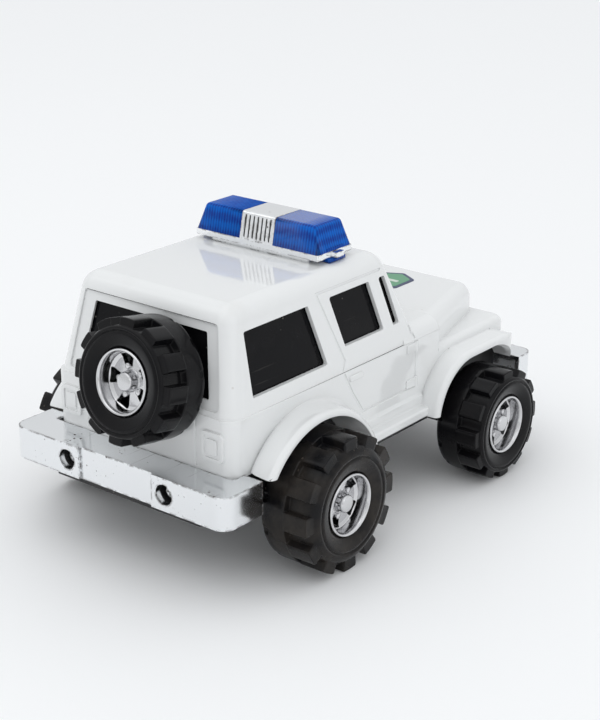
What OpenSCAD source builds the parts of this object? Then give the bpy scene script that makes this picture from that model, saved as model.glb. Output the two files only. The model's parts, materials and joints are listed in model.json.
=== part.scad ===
// Toy police car: a short off-roader with oversize tyres, a blue light bar and a spare wheel.
// Millimetres. +X is the car's front, +Y its left side, +Z up, and the tyres stand on Z = 0.
// The origin lies under the middle of the overall length and width.

/* [Wheels] */
// Distance between the two axles
wheelbase = 100; // [94:1:112]
// Half the width over the outer faces of the tyres
half_track = 66.6; // [65:0.2:72]
// Radius of a rear tyre over its lugs
rear_tyre_r = 24.8; // [24:0.1:26]
// Width of a rear tyre
rear_tyre_w = 22.2; // [20:0.1:22.6]
// Radius of a front tyre and of the spare
front_tyre_r = 21.8; // [21:0.1:23]
// Width of a front tyre and of the spare
front_tyre_w = 20.4; // [18:0.1:21]
// Lugs around a tyre's outer edge
lug_count = 12; // [8:1:16]
// Height of the lugs over the carcass
lug_h = 2.4; // [1.4:0.1:2.8]
// How far behind the sidewall the lugs start
lug_start = 3; // [2:0.1:4]
// How far the smooth band beside the lugs lies below their tops
band_drop = 0.2; // [0.1:0.05:0.5]
// Depth of the slits in that band's inner edge
slit_d = 1.3; // [0.8:0.1:1.8]
// Rounding of a tyre's inner shoulder
shoulder_r = 3; // [1.5:0.1:4]
// How far a sidewall dips in from its ring to the rim
bead_d = 1.6; // [0.8:0.1:2]
// How far a tyre's sidewall stands out past the rim's lip
sidewall_out = 0.8; // [0.3:0.1:1.5]
// Radius of the ring-shaped groove in the sidewall
groove_r = 17.4; // [15:0.1:18]
// Width of the groove in the sidewall
groove_w = 0.9; // [0.6:0.1:1.4]

/* [Rims] */
// Outer radius of a rim's lip
rim_r = 11.5; // [11:0.1:12.5]
// Thickness of the lip along the axle
lip_t = 1.2; // [0.8:0.1:2]
// Outer radius of the barrel that carries the tyre
barrel_r = 10.9; // [10:0.1:10.9]
// Wall of the barrel
barrel_wall = 0.9; // [0.6:0.1:1.4]
// Length of a rim along the axle
rim_w = 16; // [13:0.5:17]
// How deep the spokes sit behind the lip
dish_depth = 5.6; // [3:0.1:7]
// Thickness of the spokes
spoke_t = 1.8; // [1:0.1:3]
// Number of spokes
spoke_count = 5; // [4:1:7]
// Radius of the hub behind the spokes
hub_r = 4.4; // [3.8:0.1:5]
// Radius of the raised centre cap
cap_r = 3.3; // [2.6:0.1:3.6]
// How far the cap's face lies behind the lip
cap_back = 1.4; // [0.5:0.1:3]
// Radius of a wheel nut
nut_r = 1.15; // [0.8:0.05:1.4]
// How far a wheel nut stands out of the spokes
nut_h = 1.3; // [0.6:0.1:2]

/* [Axles] */
// Radius of a steel axle
axle_r = 2; // [1.6:0.1:2.2]
// Width of an axle bearing along the axle
bearing_w = 7; // [4:0.5:9]
// Wall around an axle's bearing bore
bearing_wall = 2.6; // [2:0.1:3.5]

/* [Body] */
// Width of the body below the windows
body_w = 84.4; // [82:0.2:86]
// Wall of the body
wall = 1.8; // [1.4:0.1:2.2]
// Height of the belt line under the windows
belt_z = 60; // [59:0.5:63]
// How far the body steps in above the belt line
belt_step = 0.5; // [0.3:0.1:1]
// Height of the roof
roof_z = 96.5; // [93:0.5:100]
// Height of the sills
sill_z = 29.5; // [29:0.1:31]
// Height of the body's lower edge at the tail
tail_z = 38.8; // [38:0.1:42]
// Distance from the rear axle to the tail
tail_reach = 34.6; // [34:0.1:38]
// Inward lean of the sides above the belt line, in degrees
side_lean = 10.1; // [6:0.1:12]
// Forward lean of the rear face above the belt line, in degrees
rear_lean = 10.5; // [8:0.1:13]
// Backward rake of the windscreen, in degrees
screen_rake = 23.9; // [18:0.1:26]
// Distance from the rear axle to the foot of the windscreen at the belt line
screen_foot = 74.7; // [72:0.1:78]
// Rounding of the roof's edges
roof_r = 6; // [5:0.1:8]
// Rounding of the body's upright edges at the belt line
belt_r = 5; // [4:0.1:6]
// Height of the bonnet
bonnet_z = 65; // [63:0.5:67]
// How far the bonnet lies lower than the scuttle
bonnet_step = 0.4; // [0.3:0.1:1]
// Rounding of the bonnet's edges
bonnet_r = 6; // [4:0.1:7]
// Width of the bonnet at its front
bonnet_front_w = 55; // [50:1:60]
// Distance from the rear axle to the front edge of the scuttle
scuttle_x = 86; // [84:0.5:90]
// Distance from the front axle to the front of the bonnet
bonnet_reach = 32.4; // [30:0.2:34]
// Height of the flat front wings
wing_z = 53; // [52.6:0.1:54.5]
// Rounding of the wings' edges
wing_r = 3; // [2.2:0.1:4]
// Rounding of the nose's corners seen from above
nose_corner_r = 5; // [4:0.1:7]
// Distance from the front axle to the nose
nose_reach = 34.4; // [33.6:0.2:37]
// Height of the nose's lower edge
nose_z = 37.4; // [37.2:0.1:39]

/* [Wheel arches] */
// Radius of a rear wheel arch along its flare's edge
rear_arch_r = 32; // [31.4:0.1:32.6]
// How far the middle of that arch lies below the rear axle
rear_arch_drop = 3.4; // [3:0.1:3.8]
// How much smaller the radius of that arch is at the body's side
rear_arch_taper = 1.8; // [1.2:0.1:2.2]
// How far a rear flare stands out of the body
rear_flare_out = 12; // [10:0.1:13]
// Radius of both ends of a front wheel arch
front_arch_r = 21.7; // [21.2:0.1:22.2]
// How far the middle of the arch's rear end lies behind the front axle
front_arch_back = 4; // [3.4:0.1:4.6]
// How far the middle of the arch's front end lies before the front axle
front_arch_reach = 10.5; // [9:0.1:12]
// How far both middles lie above the front axle
front_arch_lift = 4.3; // [4:0.1:4.8]
// How far a front flare stands out of the body
front_flare_out = 9.6; // [8:0.1:11]
// How far the top of a front flare runs on past the arch's front end
front_flare_run = 7.5; // [5:0.1:9]
// Rounding of a front flare's front corner seen from above
front_flare_turn = 15; // [12:0.5:16]
// Thickness of a flare
flare_t = 2.6; // [2.2:0.1:3]
// Rounding of a flare's outer edge
flare_r = 2.2; // [1.5:0.1:2.6]
// How far a running board stands out of the body
board_out = 5.3; // [4:0.1:7]
// Thickness of a running board
board_t = 3.6; // [2.5:0.1:4.5]

/* [Windows] */
// Height of the lower edge of the rear side windows
quarter_low_z = 65; // [64.5:0.1:66]
// Height of the lower edge of the door windows
door_low_z = 68.6; // [66:0.1:70]
// Height of the upper edge of all side windows
side_top_z = 87.6; // [86:0.1:88]
// Distance from the rear axle back to the rear edge of the rear side windows
quarter_rear = 22; // [20:0.1:23]
// Length of a rear side window along its upper edge
quarter_len = 34; // [30:0.1:35]
// Slant of the window pillars, in degrees
pillar_slant = 16; // [12:0.5:20]
// Width of the pillar between rear side window and door window
pillar_w = 12; // [10:0.1:14]
// Length of a door window
door_len = 23.2; // [20:0.1:24]
// Width of the pillar between door window and vent window
vent_pillar = 6; // [5:0.1:7]
// Length of a vent window
vent_len = 3.6; // [2:0.1:4]
// Height of the lower edge of the rear window
rear_low_z = 64.8; // [64.5:0.1:66]
// Height of the upper edge of the rear window
rear_top_z = 87.1; // [85:0.1:88]
// Width of the rear window along its upper edge
rear_top_w = 52.2; // [48:0.2:54]
// Width of the rear window along its lower edge
rear_low_w = 60; // [56:0.2:62]
// Width of the windscreen opening
screen_w = 58; // [50:1:60]
// Thickness of the black window liner
liner_t = 1.2; // [0.8:0.1:1.6]
// Depth of the frame around the rear window
frame_depth = 0.8; // [0.4:0.1:1]

/* [Chassis] */
// Thickness of the chassis floor
plate_t = 1.7; // [1.4:0.1:2]
// Thickness of the chassis end walls
end_wall_t = 1.8; // [1.4:0.1:2.4]
// Thickness of the panels inside the wheel arches
house_t = 1.5; // [1:0.1:2]
// How far those panels reach past the edge of the arches
house_over = 1.1; // [0.8:0.1:1.3]
// Width of the props that hold the window liner up
prop_w = 10; // [6:0.5:14]
// Length of the flat pad under the floor on which the car is fastened
pad_len = 36; // [24:1:44]
// Width of that pad
pad_w = 44; // [30:1:60]
// How far the pad stands below the floor
pad_t = 1.2; // [0.8:0.1:2]

/* [Tail lamps and doors] */
// Width of a moulded tail lamp
lamp_w = 9.6; // [8:0.1:10]
// Height of a moulded tail lamp
lamp_h = 10.6; // [9:0.1:12]
// Distance of a tail lamp from the middle of the car
lamp_y = 33.6; // [31:0.1:34]
// Height of a tail lamp's middle
lamp_z = 49.8; // [48:0.1:51]
// How far a tail lamp stands out of the tail
lamp_out = 1; // [0.5:0.1:1.5]
// Rounding of a tail lamp's corners
lamp_r = 1.8; // [1:0.1:2]
// Width of a tail lamp's frame
lamp_frame = 1.6; // [1:0.1:1.8]
// Distance from the rear axle to the middle of a door handle
handle_x = 33; // [32:0.1:40]
// Height of a door handle
handle_z = 56.6; // [52:0.1:57]
// Length of a door handle
handle_len = 8; // [6:0.1:10]
// Width of a door handle
handle_h = 2.2; // [1.4:0.1:3]
// How far a door handle stands out
handle_out = 1; // [0.6:0.1:1.6]
// Distance from the rear axle to the door hinges
hinge_x = 68; // [64:0.1:69]
// Height of the lower door hinges
hinge_low_z = 43.4; // [42.5:0.1:46]
// Height of the upper door hinges
hinge_high_z = 57.6; // [54:0.1:58]
// Length of a door hinge
hinge_len = 7; // [5:0.1:8]
// Height of a door hinge
hinge_h = 3.4; // [2:0.1:4]
// Distance from the rear axle to a door's front seam
door_front_x = 71.4; // [68:0.1:72]
// Width of the door seams
seam_w = 0.6; // [0.4:0.05:0.9]
// Depth of the door seams
seam_d = 0.5; // [0.3:0.05:0.8]

/* [Bumpers] */
// Width of both bumpers
bumper_w = 101.6; // [100:0.2:106]
// Height of both bumpers
bumper_h = 12.2; // [11:0.1:12.6]
// Wall of both bumpers
bumper_wall = 1.8; // [1.4:0.1:2.4]
// Height of the rear bumper's upper face
rear_bumper_z = 40.1; // [39.6:0.1:41]
// Depth of the rear bumper behind the tail
rear_bumper_d = 13.6; // [12:0.1:16]
// How far the rear bumper's ends run forward beside the tail
rear_bumper_wing = 5.6; // [2:0.1:6]
// Height of the front bumper's upper face
front_bumper_z = 37; // [36.4:0.1:37.1]
// Depth of the front bumper before the nose
front_bumper_d = 8; // [6:0.1:10]
// How far the front bumper's ends run back beside the nose
front_bumper_wing = 3; // [1:0.1:4]
// Rounding of the bumpers' corners seen from above
bumper_r = 5; // [3.5:0.1:6]
// Width of the set-back middle of the rear bumper
bumper_mid_w = 34.8; // [30:0.2:38]
// How far that middle is set back
bumper_mid_d = 1; // [0.5:0.1:1.2]
// Distance between a bumper's screws
bumper_screw_w = 46.6; // [44:0.2:50]
// Radius of the wells for the bumper screws
well_r = 3.7; // [3.4:0.1:4]
// Depth of the wells for the bumper screws
well_depth = 5; // [3:0.1:6]

/* [Screws] */
// Radius of a screw's shank
screw_r = 1.5; // [1.2:0.1:1.6]
// Radius of a screw's head
head_r = 2.8; // [2.4:0.1:3]
// Height of a screw's head
head_h = 1.9; // [1.5:0.1:2.2]
// Length of a screw's shank
screw_len = 12; // [11:0.5:14]
// Width of the slots of the cross recess
cross_w = 0.7; // [0.5:0.05:0.9]
// Radius of the bosses that take a screw
boss_r = 3.6; // [3.2:0.1:4]

/* [Light bar] */
// Length of the tray across the roof
tray_w = 58; // [54:0.5:59]
// Depth of the tray along the car
tray_d = 20; // [18:0.5:22]
// Thickness of the tray
tray_t = 2.2; // [1.6:0.1:2.6]
// Width of the plinth under the tray
plinth_w = 46; // [40:0.5:47]
// Height of the plinth under the tray
plinth_h = 1.8; // [1.4:0.1:2.4]
// Distance from the rear axle to the tray's rear edge
tray_x = 27.4; // [24:0.2:30]
// Height of the lenses over the tray
lens_h = 9.8; // [9:0.1:12]
// Width of the ribbed block between the lenses
block_w = 15.6; // [12:0.2:18]
// Grooves in the ribbed block
block_grooves = 7; // [4:1:9]
// Depth of the grooves in the ribbed block
block_groove_d = 0.6; // [0.3:0.1:1]
// Wall of the lenses
lens_wall = 1.3; // [1:0.1:1.6]
// Rounding of the lenses' upper edges
lens_r = 1.9; // [1.4:0.1:2.4]
// Lean of the lenses' long sides, in degrees
lens_lean = 12; // [6:0.5:14]
// Distance from the tray's rear edge to the lug that holds a lens
lug_x = 10; // [7:0.5:12]
// Width of that lug
lug_w = 9; // [6:0.5:12]
// Thickness of that lug
lug_t = 1.2; // [0.8:0.1:1.4]
// How far the end tabs stand out of the tray
tab_out = 2.4; // [1:0.1:3]

/* [Spare wheel] */
// Height at which the spare's axis leaves the rear face
spare_z = 68.6; // [66:0.1:69]
// How far the spare sits to the right of the middle
spare_right = 9; // [0:0.1:9]
// Radius of the spigot that carries the spare
spigot_r = 2.6; // [2.4:0.1:2.8]
// Height of the ring that snaps the spare onto its spigot
snap_h = 0.25; // [0.15:0.05:0.4]
// Half the width of that ring
snap_w = 1; // [0.6:0.1:1.4]
// Length of the liner's boss behind the spare
liner_boss_h = 3; // [2:0.1:4]
// Radius of the spigot's flange
flange_r = 5.4; // [5:0.1:6]

/* [Grille and badge] */
// Width of the grille
grille_w = 66; // [60:0.5:68]
// Height of the grille
grille_h = 10.4; // [9:0.1:10.8]
// Upright slots in the grille
grille_slots = 9; // [5:1:11]
// Radius of the headlamps
headlamp_r = 4.4; // [3.6:0.1:4.6]
// Length of the plain sticker on the bonnet
badge_len = 19; // [14:0.5:22]
// Width of the plain sticker on the bonnet
badge_w = 17; // [12:0.5:20]
// Thickness of the sticker
badge_t = 0.3; // [0.2:0.05:0.4]

/* [Hidden] */
$fn = 64;
// Radial clearance of an axle or spigot that turns
running_fit = 0.05;
// Radial clearance between pieces that are pushed together and stay
push_fit = 0.05;
// Clearance between neighbouring pieces
gap = 0.3;
// Clearance around a tyre that turns
tyre_room = 1;
// Overrun of a cut past the face that it leaves
over = 1;
// Steps in a rounded corner of an outline
arc_steps = 6;
// Sides of the balls that round the hulls
ball_fn = 32;

front_x = wheelbase;
side_y = body_w / 2;
nose_x = front_x + nose_reach;
bonnet_x = front_x + bonnet_reach;
rear_bumper_x = -tail_reach - gap - rear_bumper_d;
front_bumper_x = nose_x + gap + front_bumper_d;
tray_z = roof_z + plinth_h;
lens_z = tray_z + tray_t;
bar_screw_y = block_w / 4;

plate_z = sill_z - plate_t - gap;

// Shares of a lug pitch and of a tyre's width
lug_angle_share = 0.58;
slit_angle_share = 0.24;
band_start_share = 0.5;
band_end_share = 0.84;

// A vector's direction
function unit(v) = v / norm(v);

// Points of one rounded corner b of an outline that comes from a and goes on to c
function corner(a, b, c, r) =
    let (
        u = unit(a - b),
        v = unit(c - b),
        half = acos(max(-1, min(1, u * v))) / 2,
        m = b + unit(u + v) * r / sin(half),
        s = b + u * r / tan(half) - m,
        e = b + v * r / tan(half) - m,
        start = atan2(s.y, s.x),
        turn = (atan2(e.y, e.x) - start + 540) % 360 - 180
    )
    r <= 0 ? [b] : [for (i = [0:arc_steps]) m + r * [cos(start + turn * i / arc_steps),
        sin(start + turn * i / arc_steps)]];

// An outline with one rounding for each of its corners
function rounded(pts, radii) =
    let (n = len(pts))
    [for (i = [0:n - 1]) each corner(pts[(i + n - 1) % n], pts[i], pts[(i + 1) % n], radii[i])];

// Rectangle centred on X with its lower edge at y0
function rect(w, y0, y1) = [[-w / 2, y0], [w / 2, y0], [w / 2, y1], [-w / 2, y1]];

// Place of a ball that keeps a leaning face tangent: the face crosses the belt line at foot
function lean_place(foot, lean, r, z) = foot - ((z - belt_z) * sin(lean) + r) / cos(lean);

// Place of the rear face at a height above the belt line
function rear_face_x(z) = -tail_reach + (z - belt_z) * tan(rear_lean) + belt_step;

// Rounding of a tyre's outer shoulder, which ends at the groove
function shoulder(r) = r - lug_h - groove_r - groove_w / 2;

// A tyre's outline over the radius and the distance from the rim's lip
function tyre_outline(r, w) =
    let (c = r - lug_h, band = r - band_drop, in = sidewall_out - w,
        start = sidewall_out - w * band_start_share)
    rounded(
        [[barrel_r + push_fit, in], [band, in], [band, start], [c, start], [c, sidewall_out],
         [groove_r, sidewall_out], [rim_r + gap, sidewall_out - bead_d],
         [rim_r + gap, -lip_t - gap], [barrel_r + push_fit, -lip_t - gap]],
        [0, shoulder_r, 0, 0, shoulder(r), 0, 0, 0, 0]);

// A lug in the same terms, from its square end at the shoulder into the band
function lug_outline(r, w) =
    let (low = r - lug_h - shoulder_r / 2, out = sidewall_out - lug_start,
        in = sidewall_out - w * band_start_share - over)
    [[low, in], [low, out], [r, out], [r, in]];

// A slit in the band's inner edge in the same terms
function slit_outline(r, w) =
    let (in = sidewall_out - w - over, end = sidewall_out - w * band_end_share)
    [[r - slit_d, in], [r + over, in], [r + over, end], [r - slit_d, end]];

// Middle of the overall length, which the origin lies under
spare_x = rear_face_x(spare_z);
spare_gap = belt_step + gap;
spare_seat = front_tyre_w - sidewall_out + spare_gap;
rear_most = spare_x - (front_tyre_w + spare_gap - shoulder(front_tyre_r)) * cos(rear_lean)
    - (groove_r + groove_w / 2) * sin(rear_lean) - shoulder(front_tyre_r);
mid_x = (front_bumper_x + min(rear_most, rear_bumper_x)) / 2;

// Everything is drawn from the rear axle and moved to the origin here
module car() {
    translate([-mid_x, 0, 0]) children();
}

module both_sides() {
    children();
    mirror([0, 1, 0]) children();
}

// Outline over X and Z drawn out across the car
module across(w) {
    rotate([90, 0, 0]) linear_extrude(w, center = true) children();
}

// Outline over Y and Z drawn out along the car from x0 to x1
module along(x0, x1) {
    translate([x0, 0, 0]) rotate([90, 0, 90]) linear_extrude(x1 - x0) children();
}

// Outline of radius and offset turned about the car's cross axis, with +Y as the offset
module about_y(a = 360) {
    rotate([-90, 0, 0]) rotate_extrude(angle = a) children();
}

// A wheel's local frame: +Z points out of the car and 0 is the rim's lip
module wheel_at(x, z, side) {
    car() translate([x, side * (half_track - sidewall_out), z]) rotate([-side * 90, 0, 0]) children();
}

// The spare's local frame: +Z points out of the rear face and 0 is that face
module spare_at() {
    car() translate([spare_x, -spare_right, spare_z]) rotate([0, rear_lean - 90, 0])
        children();
}

// A screw with its head's underside at 0 and its shank along +Z
module screw() {
    difference() {
        union() {
            cylinder(r = screw_r, h = screw_len);
            translate([0, 0, -head_h]) cylinder(r = head_r, h = head_h);
        }
        for (a = [0, 90])
            rotate(a) translate([-head_r * cross_share, -cross_w / 2, -head_h - over])
                cube([2 * head_r * cross_share, cross_w, head_h * cross_share + over]);
    }
}

// Share of the screw's head that the cross recess takes
cross_share = 0.6;

// Body of the windows and roof, drawn in by d on every side
module greenhouse(d) {
    hull() both_sides() {
        z = roof_z - roof_r;
        for (x = [-lean_place(tail_reach - belt_step, rear_lean, roof_r, z),
            lean_place(screen_foot, screen_rake, roof_r, z)])
            translate([x, lean_place(side_y - belt_step, side_lean, roof_r, z), z])
                sphere(r = roof_r - d, $fn = ball_fn);
        for (x = [-lean_place(tail_reach - belt_step, rear_lean, belt_r, belt_z),
            lean_place(screen_foot, screen_rake, belt_r, belt_z)])
            translate([x, lean_place(side_y - belt_step, side_lean, belt_r, belt_z), belt_z])
                sphere(r = belt_r - d, $fn = ball_fn);
    }
}

// Body below the belt line, from z0 up, drawn in by d
module tub(d, z0) {
    translate([0, 0, z0]) linear_extrude(belt_z - z0)
        polygon(rounded(
            [[-tail_reach + d, -side_y + d], [scuttle_x - d, -side_y + d], [scuttle_x - d, side_y - d],
                [-tail_reach + d, side_y - d]],
            [belt_r - d, 0, 0, belt_r - d]));
}

// Scuttle between windscreen and bonnet, drawn in by d
module scuttle(d) {
    along(screen_foot - belt_z * scuttle_share, scuttle_x - d)
        polygon(rounded(rect(body_w - 2 * d, sill_z, bonnet_z - d),
            [0, 0, bonnet_r - d, bonnet_r - d]));
}

// Share of the belt height by which the scuttle runs in under the windscreen
scuttle_share = 0.2;

// Tapered bonnet, drawn in by d
module bonnet(d) {
    hull() both_sides() {
        for (p = [[scuttle_x - bonnet_step, side_y - bonnet_step], [bonnet_x, bonnet_front_w / 2]])
            translate([p.x - bonnet_r, p.y - bonnet_r, 0]) {
                translate([0, 0, bonnet_z - bonnet_step - bonnet_r])
                    sphere(r = bonnet_r - d, $fn = ball_fn);
                translate([0, 0, wing_z - 2 * wall]) cylinder(r = bonnet_r - d, h = wall, $fn = ball_fn);
            }
    }
}

// Front wings and nose from z0 up, drawn in by d
module wings(d, z0) {
    intersection() {
        translate([0, 0, z0]) linear_extrude(wing_z - d - z0)
            polygon(rounded(
                [[scuttle_x - 2 * bonnet_r, -side_y + d], [nose_x - d, -side_y + d],
                    [nose_x - d, side_y - d], [scuttle_x - 2 * bonnet_r, side_y - d]],
                [0, nose_corner_r - d, nose_corner_r - d, 0]));
        along(scuttle_x - 2 * bonnet_r - over, nose_x + over)
            polygon(rounded(rect(body_w - 2 * d, z0, wing_z - d), [0, 0, wing_r - d, wing_r - d]));
        across(2 * body_w)
            polygon(rounded(
                [[0, z0], [nose_x - d, z0], [nose_x - d, wing_z - d], [0, wing_z - d]],
                [0, 0, wing_r - d, 0]));
    }
}

// Disc on the left side, between two distances from the body's side
module side_disc(x, z, r, y0, y1) {
    translate([x, side_y + y0, z]) rotate([-90, 0, 0]) cylinder(r = r, h = y1 - y0);
}

// Disc on the left side with a rounded outer edge, between the same distances
module lip_disc(x, z, r, y0, y1) {
    translate([x, side_y + y0, z]) about_y()
        polygon(rounded([[0, 0], [r, 0], [r, y1 - y0], [0, y1 - y0]], [0, 0, flare_r, 0]));
}

// Heights of the middles of a rear and a front arch
rear_arch_z = rear_tyre_r - rear_arch_drop;
front_arch_z = front_tyre_r + front_arch_lift;
// Radius of a rear arch at the body's side
rear_root_r = rear_arch_r - rear_arch_taper;
// Places along the car of the middles of a front arch's ends
front_arch_ends = [front_x - front_arch_back, front_x + front_arch_reach];

// Rear flare on the left side, which widens from its root to its edge. The arch is cut later.
module rear_flare() {
    foot = rear_bumper_z + gap;
    wide = rear_arch_r + 2 * flare_t;
    intersection() {
        translate([0, side_y, rear_arch_z]) about_y()
            polygon(rounded(
                [[rear_root_r - over, -wall / 2], [rear_root_r + flare_t, -wall / 2],
                    [rear_root_r + flare_t, 0],
                 [rear_arch_r + flare_t, rear_flare_out - flare_r - wall / 2],
                    [rear_arch_r + flare_t, rear_flare_out], [rear_root_r - over, rear_flare_out]],
                [0, 0, 0, 0, flare_r, 0]));
        across(2 * half_track)
            polygon([[-wide, foot], [0, foot], [0, sill_z], [wide, sill_z], [wide, belt_z],
                [-wide, belt_z]]);
    }
}

// Opening of a rear arch on the left side
module rear_arch() {
    out = rear_flare_out + over;
    translate([0, side_y, rear_arch_z]) about_y()
        polygon([[0, -2 * wall], [rear_root_r, -2 * wall], [rear_root_r, 0],
            [rear_arch_r, rear_flare_out], [rear_arch_r, out], [0, out]]);
}

// Front flare on the left side, drawn out to the nose. The arch is cut later.
module front_flare() {
    back = front_arch_ends[0] - front_arch_r - 2 * flare_t;
    intersection() {
        hull() for (x = [front_arch_ends[0], front_arch_ends[1] + front_flare_run])
            lip_disc(x, front_arch_z, front_arch_r + flare_t, -wall / 2, front_flare_out);
        across(2 * half_track)
            polygon([[back, sill_z], [front_x, sill_z], [front_x, nose_z], [nose_x, nose_z],
                [nose_x, wing_z], [back, wing_z]]);
        translate([0, 0, sill_z]) linear_extrude(wing_z - sill_z)
            polygon(rounded(
                [[back, 0], [nose_x, 0], [nose_x, side_y + front_flare_out],
                    [back, side_y + front_flare_out]],
                [0, 0, front_flare_turn, 0]));
    }
}

// Opening of a front arch on the left side
module front_arch() {
    out = front_flare_out + over;
    for (x = front_arch_ends)
        side_disc(x, front_arch_z, front_arch_r, -2 * wall, out);
    translate([front_arch_ends[0], side_y - 2 * wall, front_arch_z - front_arch_r])
        cube([front_arch_ends[1] - front_arch_ends[0], out + 2 * wall, 2 * front_arch_r]);
}

// Running board with its upper step, on the left side
module running_board() {
    x0 = sqrt(pow(rear_root_r, 2) - pow(sill_z - rear_arch_z, 2));
    x1 = front_arch_ends[0] - sqrt(pow(front_arch_r, 2) - pow(sill_z - front_arch_z, 2));
    along(x0, x1)
        polygon(rounded(
            [[side_y - wall, sill_z], [side_y + board_out, sill_z],
                [side_y + board_out, sill_z + board_t],
             [side_y + board_out * board_step_share, sill_z + board_t],
                 [side_y + board_out * board_step_share, sill_z + 2 * board_t],
             [side_y - wall, sill_z + 2 * board_t + wall]],
            [0, wall / 2, wall / 2, 0, 0, 0]));
}

// Share of the running board's reach that its upper step takes
board_step_share = 0.2;

// Side windows as an outline over X and Z: lower edge, length and upper rear corner
module side_window(x, len, low) {
    run = (side_top_z - low) * tan(pillar_slant);
    polygon([[x, side_top_z], [x + run, low], [x + run + len, low], [x + len, side_top_z]]);
}

door_x = -quarter_rear + quarter_len + pillar_w;
vent_x = door_x + door_len + vent_pillar;

module side_windows() {
    across(2 * body_w) {
        run = (side_top_z - quarter_low_z) * tan(pillar_slant);
        polygon([[-quarter_rear, side_top_z], [-quarter_rear, quarter_low_z],
                 [-quarter_rear + quarter_len + run, quarter_low_z],
                     [-quarter_rear + quarter_len, side_top_z]]);
        side_window(door_x, door_len, door_low_z);
        side_window(vent_x, vent_len, door_low_z);
    }
}

// Rear window and windscreen, cut along the car
module end_windows() {
    along(-tail_reach - over, -quarter_rear)
        polygon([[-rear_low_w / 2, rear_low_z], [rear_low_w / 2, rear_low_z],
            [rear_top_w / 2, rear_top_z], [-rear_top_w / 2, rear_top_z]]);
    along(vent_x, screen_foot + over)
        polygon(rounded(rect(screen_w, bonnet_z + wall, rear_top_z), [wall, wall, wall, wall]));
}

// Shallow frame around the rear window, seen from behind
module rear_frame() {
    w = rear_low_w - rear_top_w;
    intersection() {
        along(-tail_reach - over, -quarter_rear)
            polygon([[-rear_low_w / 2 - w, belt_z + wall], [rear_low_w / 2 + w, belt_z + wall],
                     [rear_top_w / 2 + w / 2, rear_top_z + 2 * wall],
                         [-rear_top_w / 2 - w / 2, rear_top_z + 2 * wall]]);
        translate([rear_face_x(belt_z) + frame_depth / cos(rear_lean), 0, belt_z])
            rotate([0, rear_lean, 0])
            translate([-tail_reach, -side_y, -belt_z]) cube([tail_reach, body_w, 2 * roof_z]);
    }
}

// Tail lamp moulding: a raised frame with a raised middle, on the left
module tail_lamp() {
    module pane(d, x0, x1) {
        along(x0, x1)
            polygon(rounded(
                [[lamp_y - lamp_w / 2 + d, lamp_z - lamp_h / 2 + d],
                    [lamp_y + lamp_w / 2 - d, lamp_z - lamp_h / 2 + d],
                 [lamp_y + lamp_w / 2 - d, lamp_z + lamp_h / 2 - d],
                     [lamp_y - lamp_w / 2 + d, lamp_z + lamp_h / 2 - d]],
                [for (i = [0:3]) lamp_r / (1 + d)]));
    }
    difference() {
        pane(0, -tail_reach - lamp_out, -tail_reach + wall / 2);
        pane(lamp_frame, -tail_reach - lamp_out - over, -tail_reach - lamp_out / 2);
    }
    pane(2 * lamp_frame, -tail_reach - lamp_out, -tail_reach + wall / 2);
}

// Door handle and hinges, moulded on the left side
module door_furniture() {
    translate([handle_x - handle_len / 2, side_y - wall / 2, handle_z - handle_h / 2])
        cube([handle_len, wall / 2 + handle_out, handle_h]);
    for (z = [hinge_low_z, hinge_high_z])
        translate([hinge_x - hinge_len / 2, side_y - wall / 2, z - hinge_h / 2])
            cube([hinge_len, wall / 2 + handle_out / 2, hinge_h]);
}

// Door seams: narrow grooves in the flat side, on the left
module door_seams() {
    y = side_y - seam_d;
    for (x = [handle_x - handle_len, door_front_x])
        translate([x, y, sill_z + 3 * board_t])
            cube([seam_w, seam_d + over, belt_z - seam_w - sill_z - 3 * board_t]);
    translate([handle_x - handle_len, y, sill_z + 3 * board_t])
        cube([door_front_x - handle_x + handle_len, seam_d + over, seam_w]);
}

// Places of the posts that take the body screws
post_share = 0.4;
post_front = [front_x + bonnet_reach * post_share, bonnet_front_w / 2 - bonnet_r - boss_r];
post_rear = [-tail_reach + wall + gap + 2 * boss_r,
    min(side_y - wall - boss_r, half_track - rear_tyre_w - tyre_room) - boss_r];

module body_posts() {
    both_sides() {
        translate([post_front.x, post_front.y, sill_z])
            cylinder(r = boss_r, h = bonnet_z - bonnet_step - wall / 2 - sill_z);
        translate([post_rear.x, post_rear.y, sill_z])
            cylinder(r = boss_r, h = belt_z - 2 * wall - sill_z);
        translate([-tail_reach + wall / 2, post_rear.y - wall / 2, tail_z + gap])
            cube([post_rear.x + tail_reach - wall / 2, wall, belt_z - 2 * wall - tail_z - gap]);
    }
}

// Grille pocket in the nose
module grille_pocket(d) {
    z = (wing_z - wing_r + nose_z) / 2;
    translate([nose_x - wall / 2, -grille_w / 2 - d, z - grille_h / 2 - d])
        cube([wall / 2 + over, grille_w + 2 * d, grille_h + 2 * d]);
}

module body_outside() {
    greenhouse(0);
    difference() {
        tub(0, sill_z);
        translate([-tail_reach - over, -body_w, 0]) cube([tail_reach + over, 2 * body_w, tail_z]);
    }
    scuttle(0);
    bonnet(0);
    wings(0, nose_z);
}

module body_inside() {
    greenhouse(wall);
    tub(wall, 0);
    scuttle(wall);
    bonnet(wall);
    wings(wall, 0);
}

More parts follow.
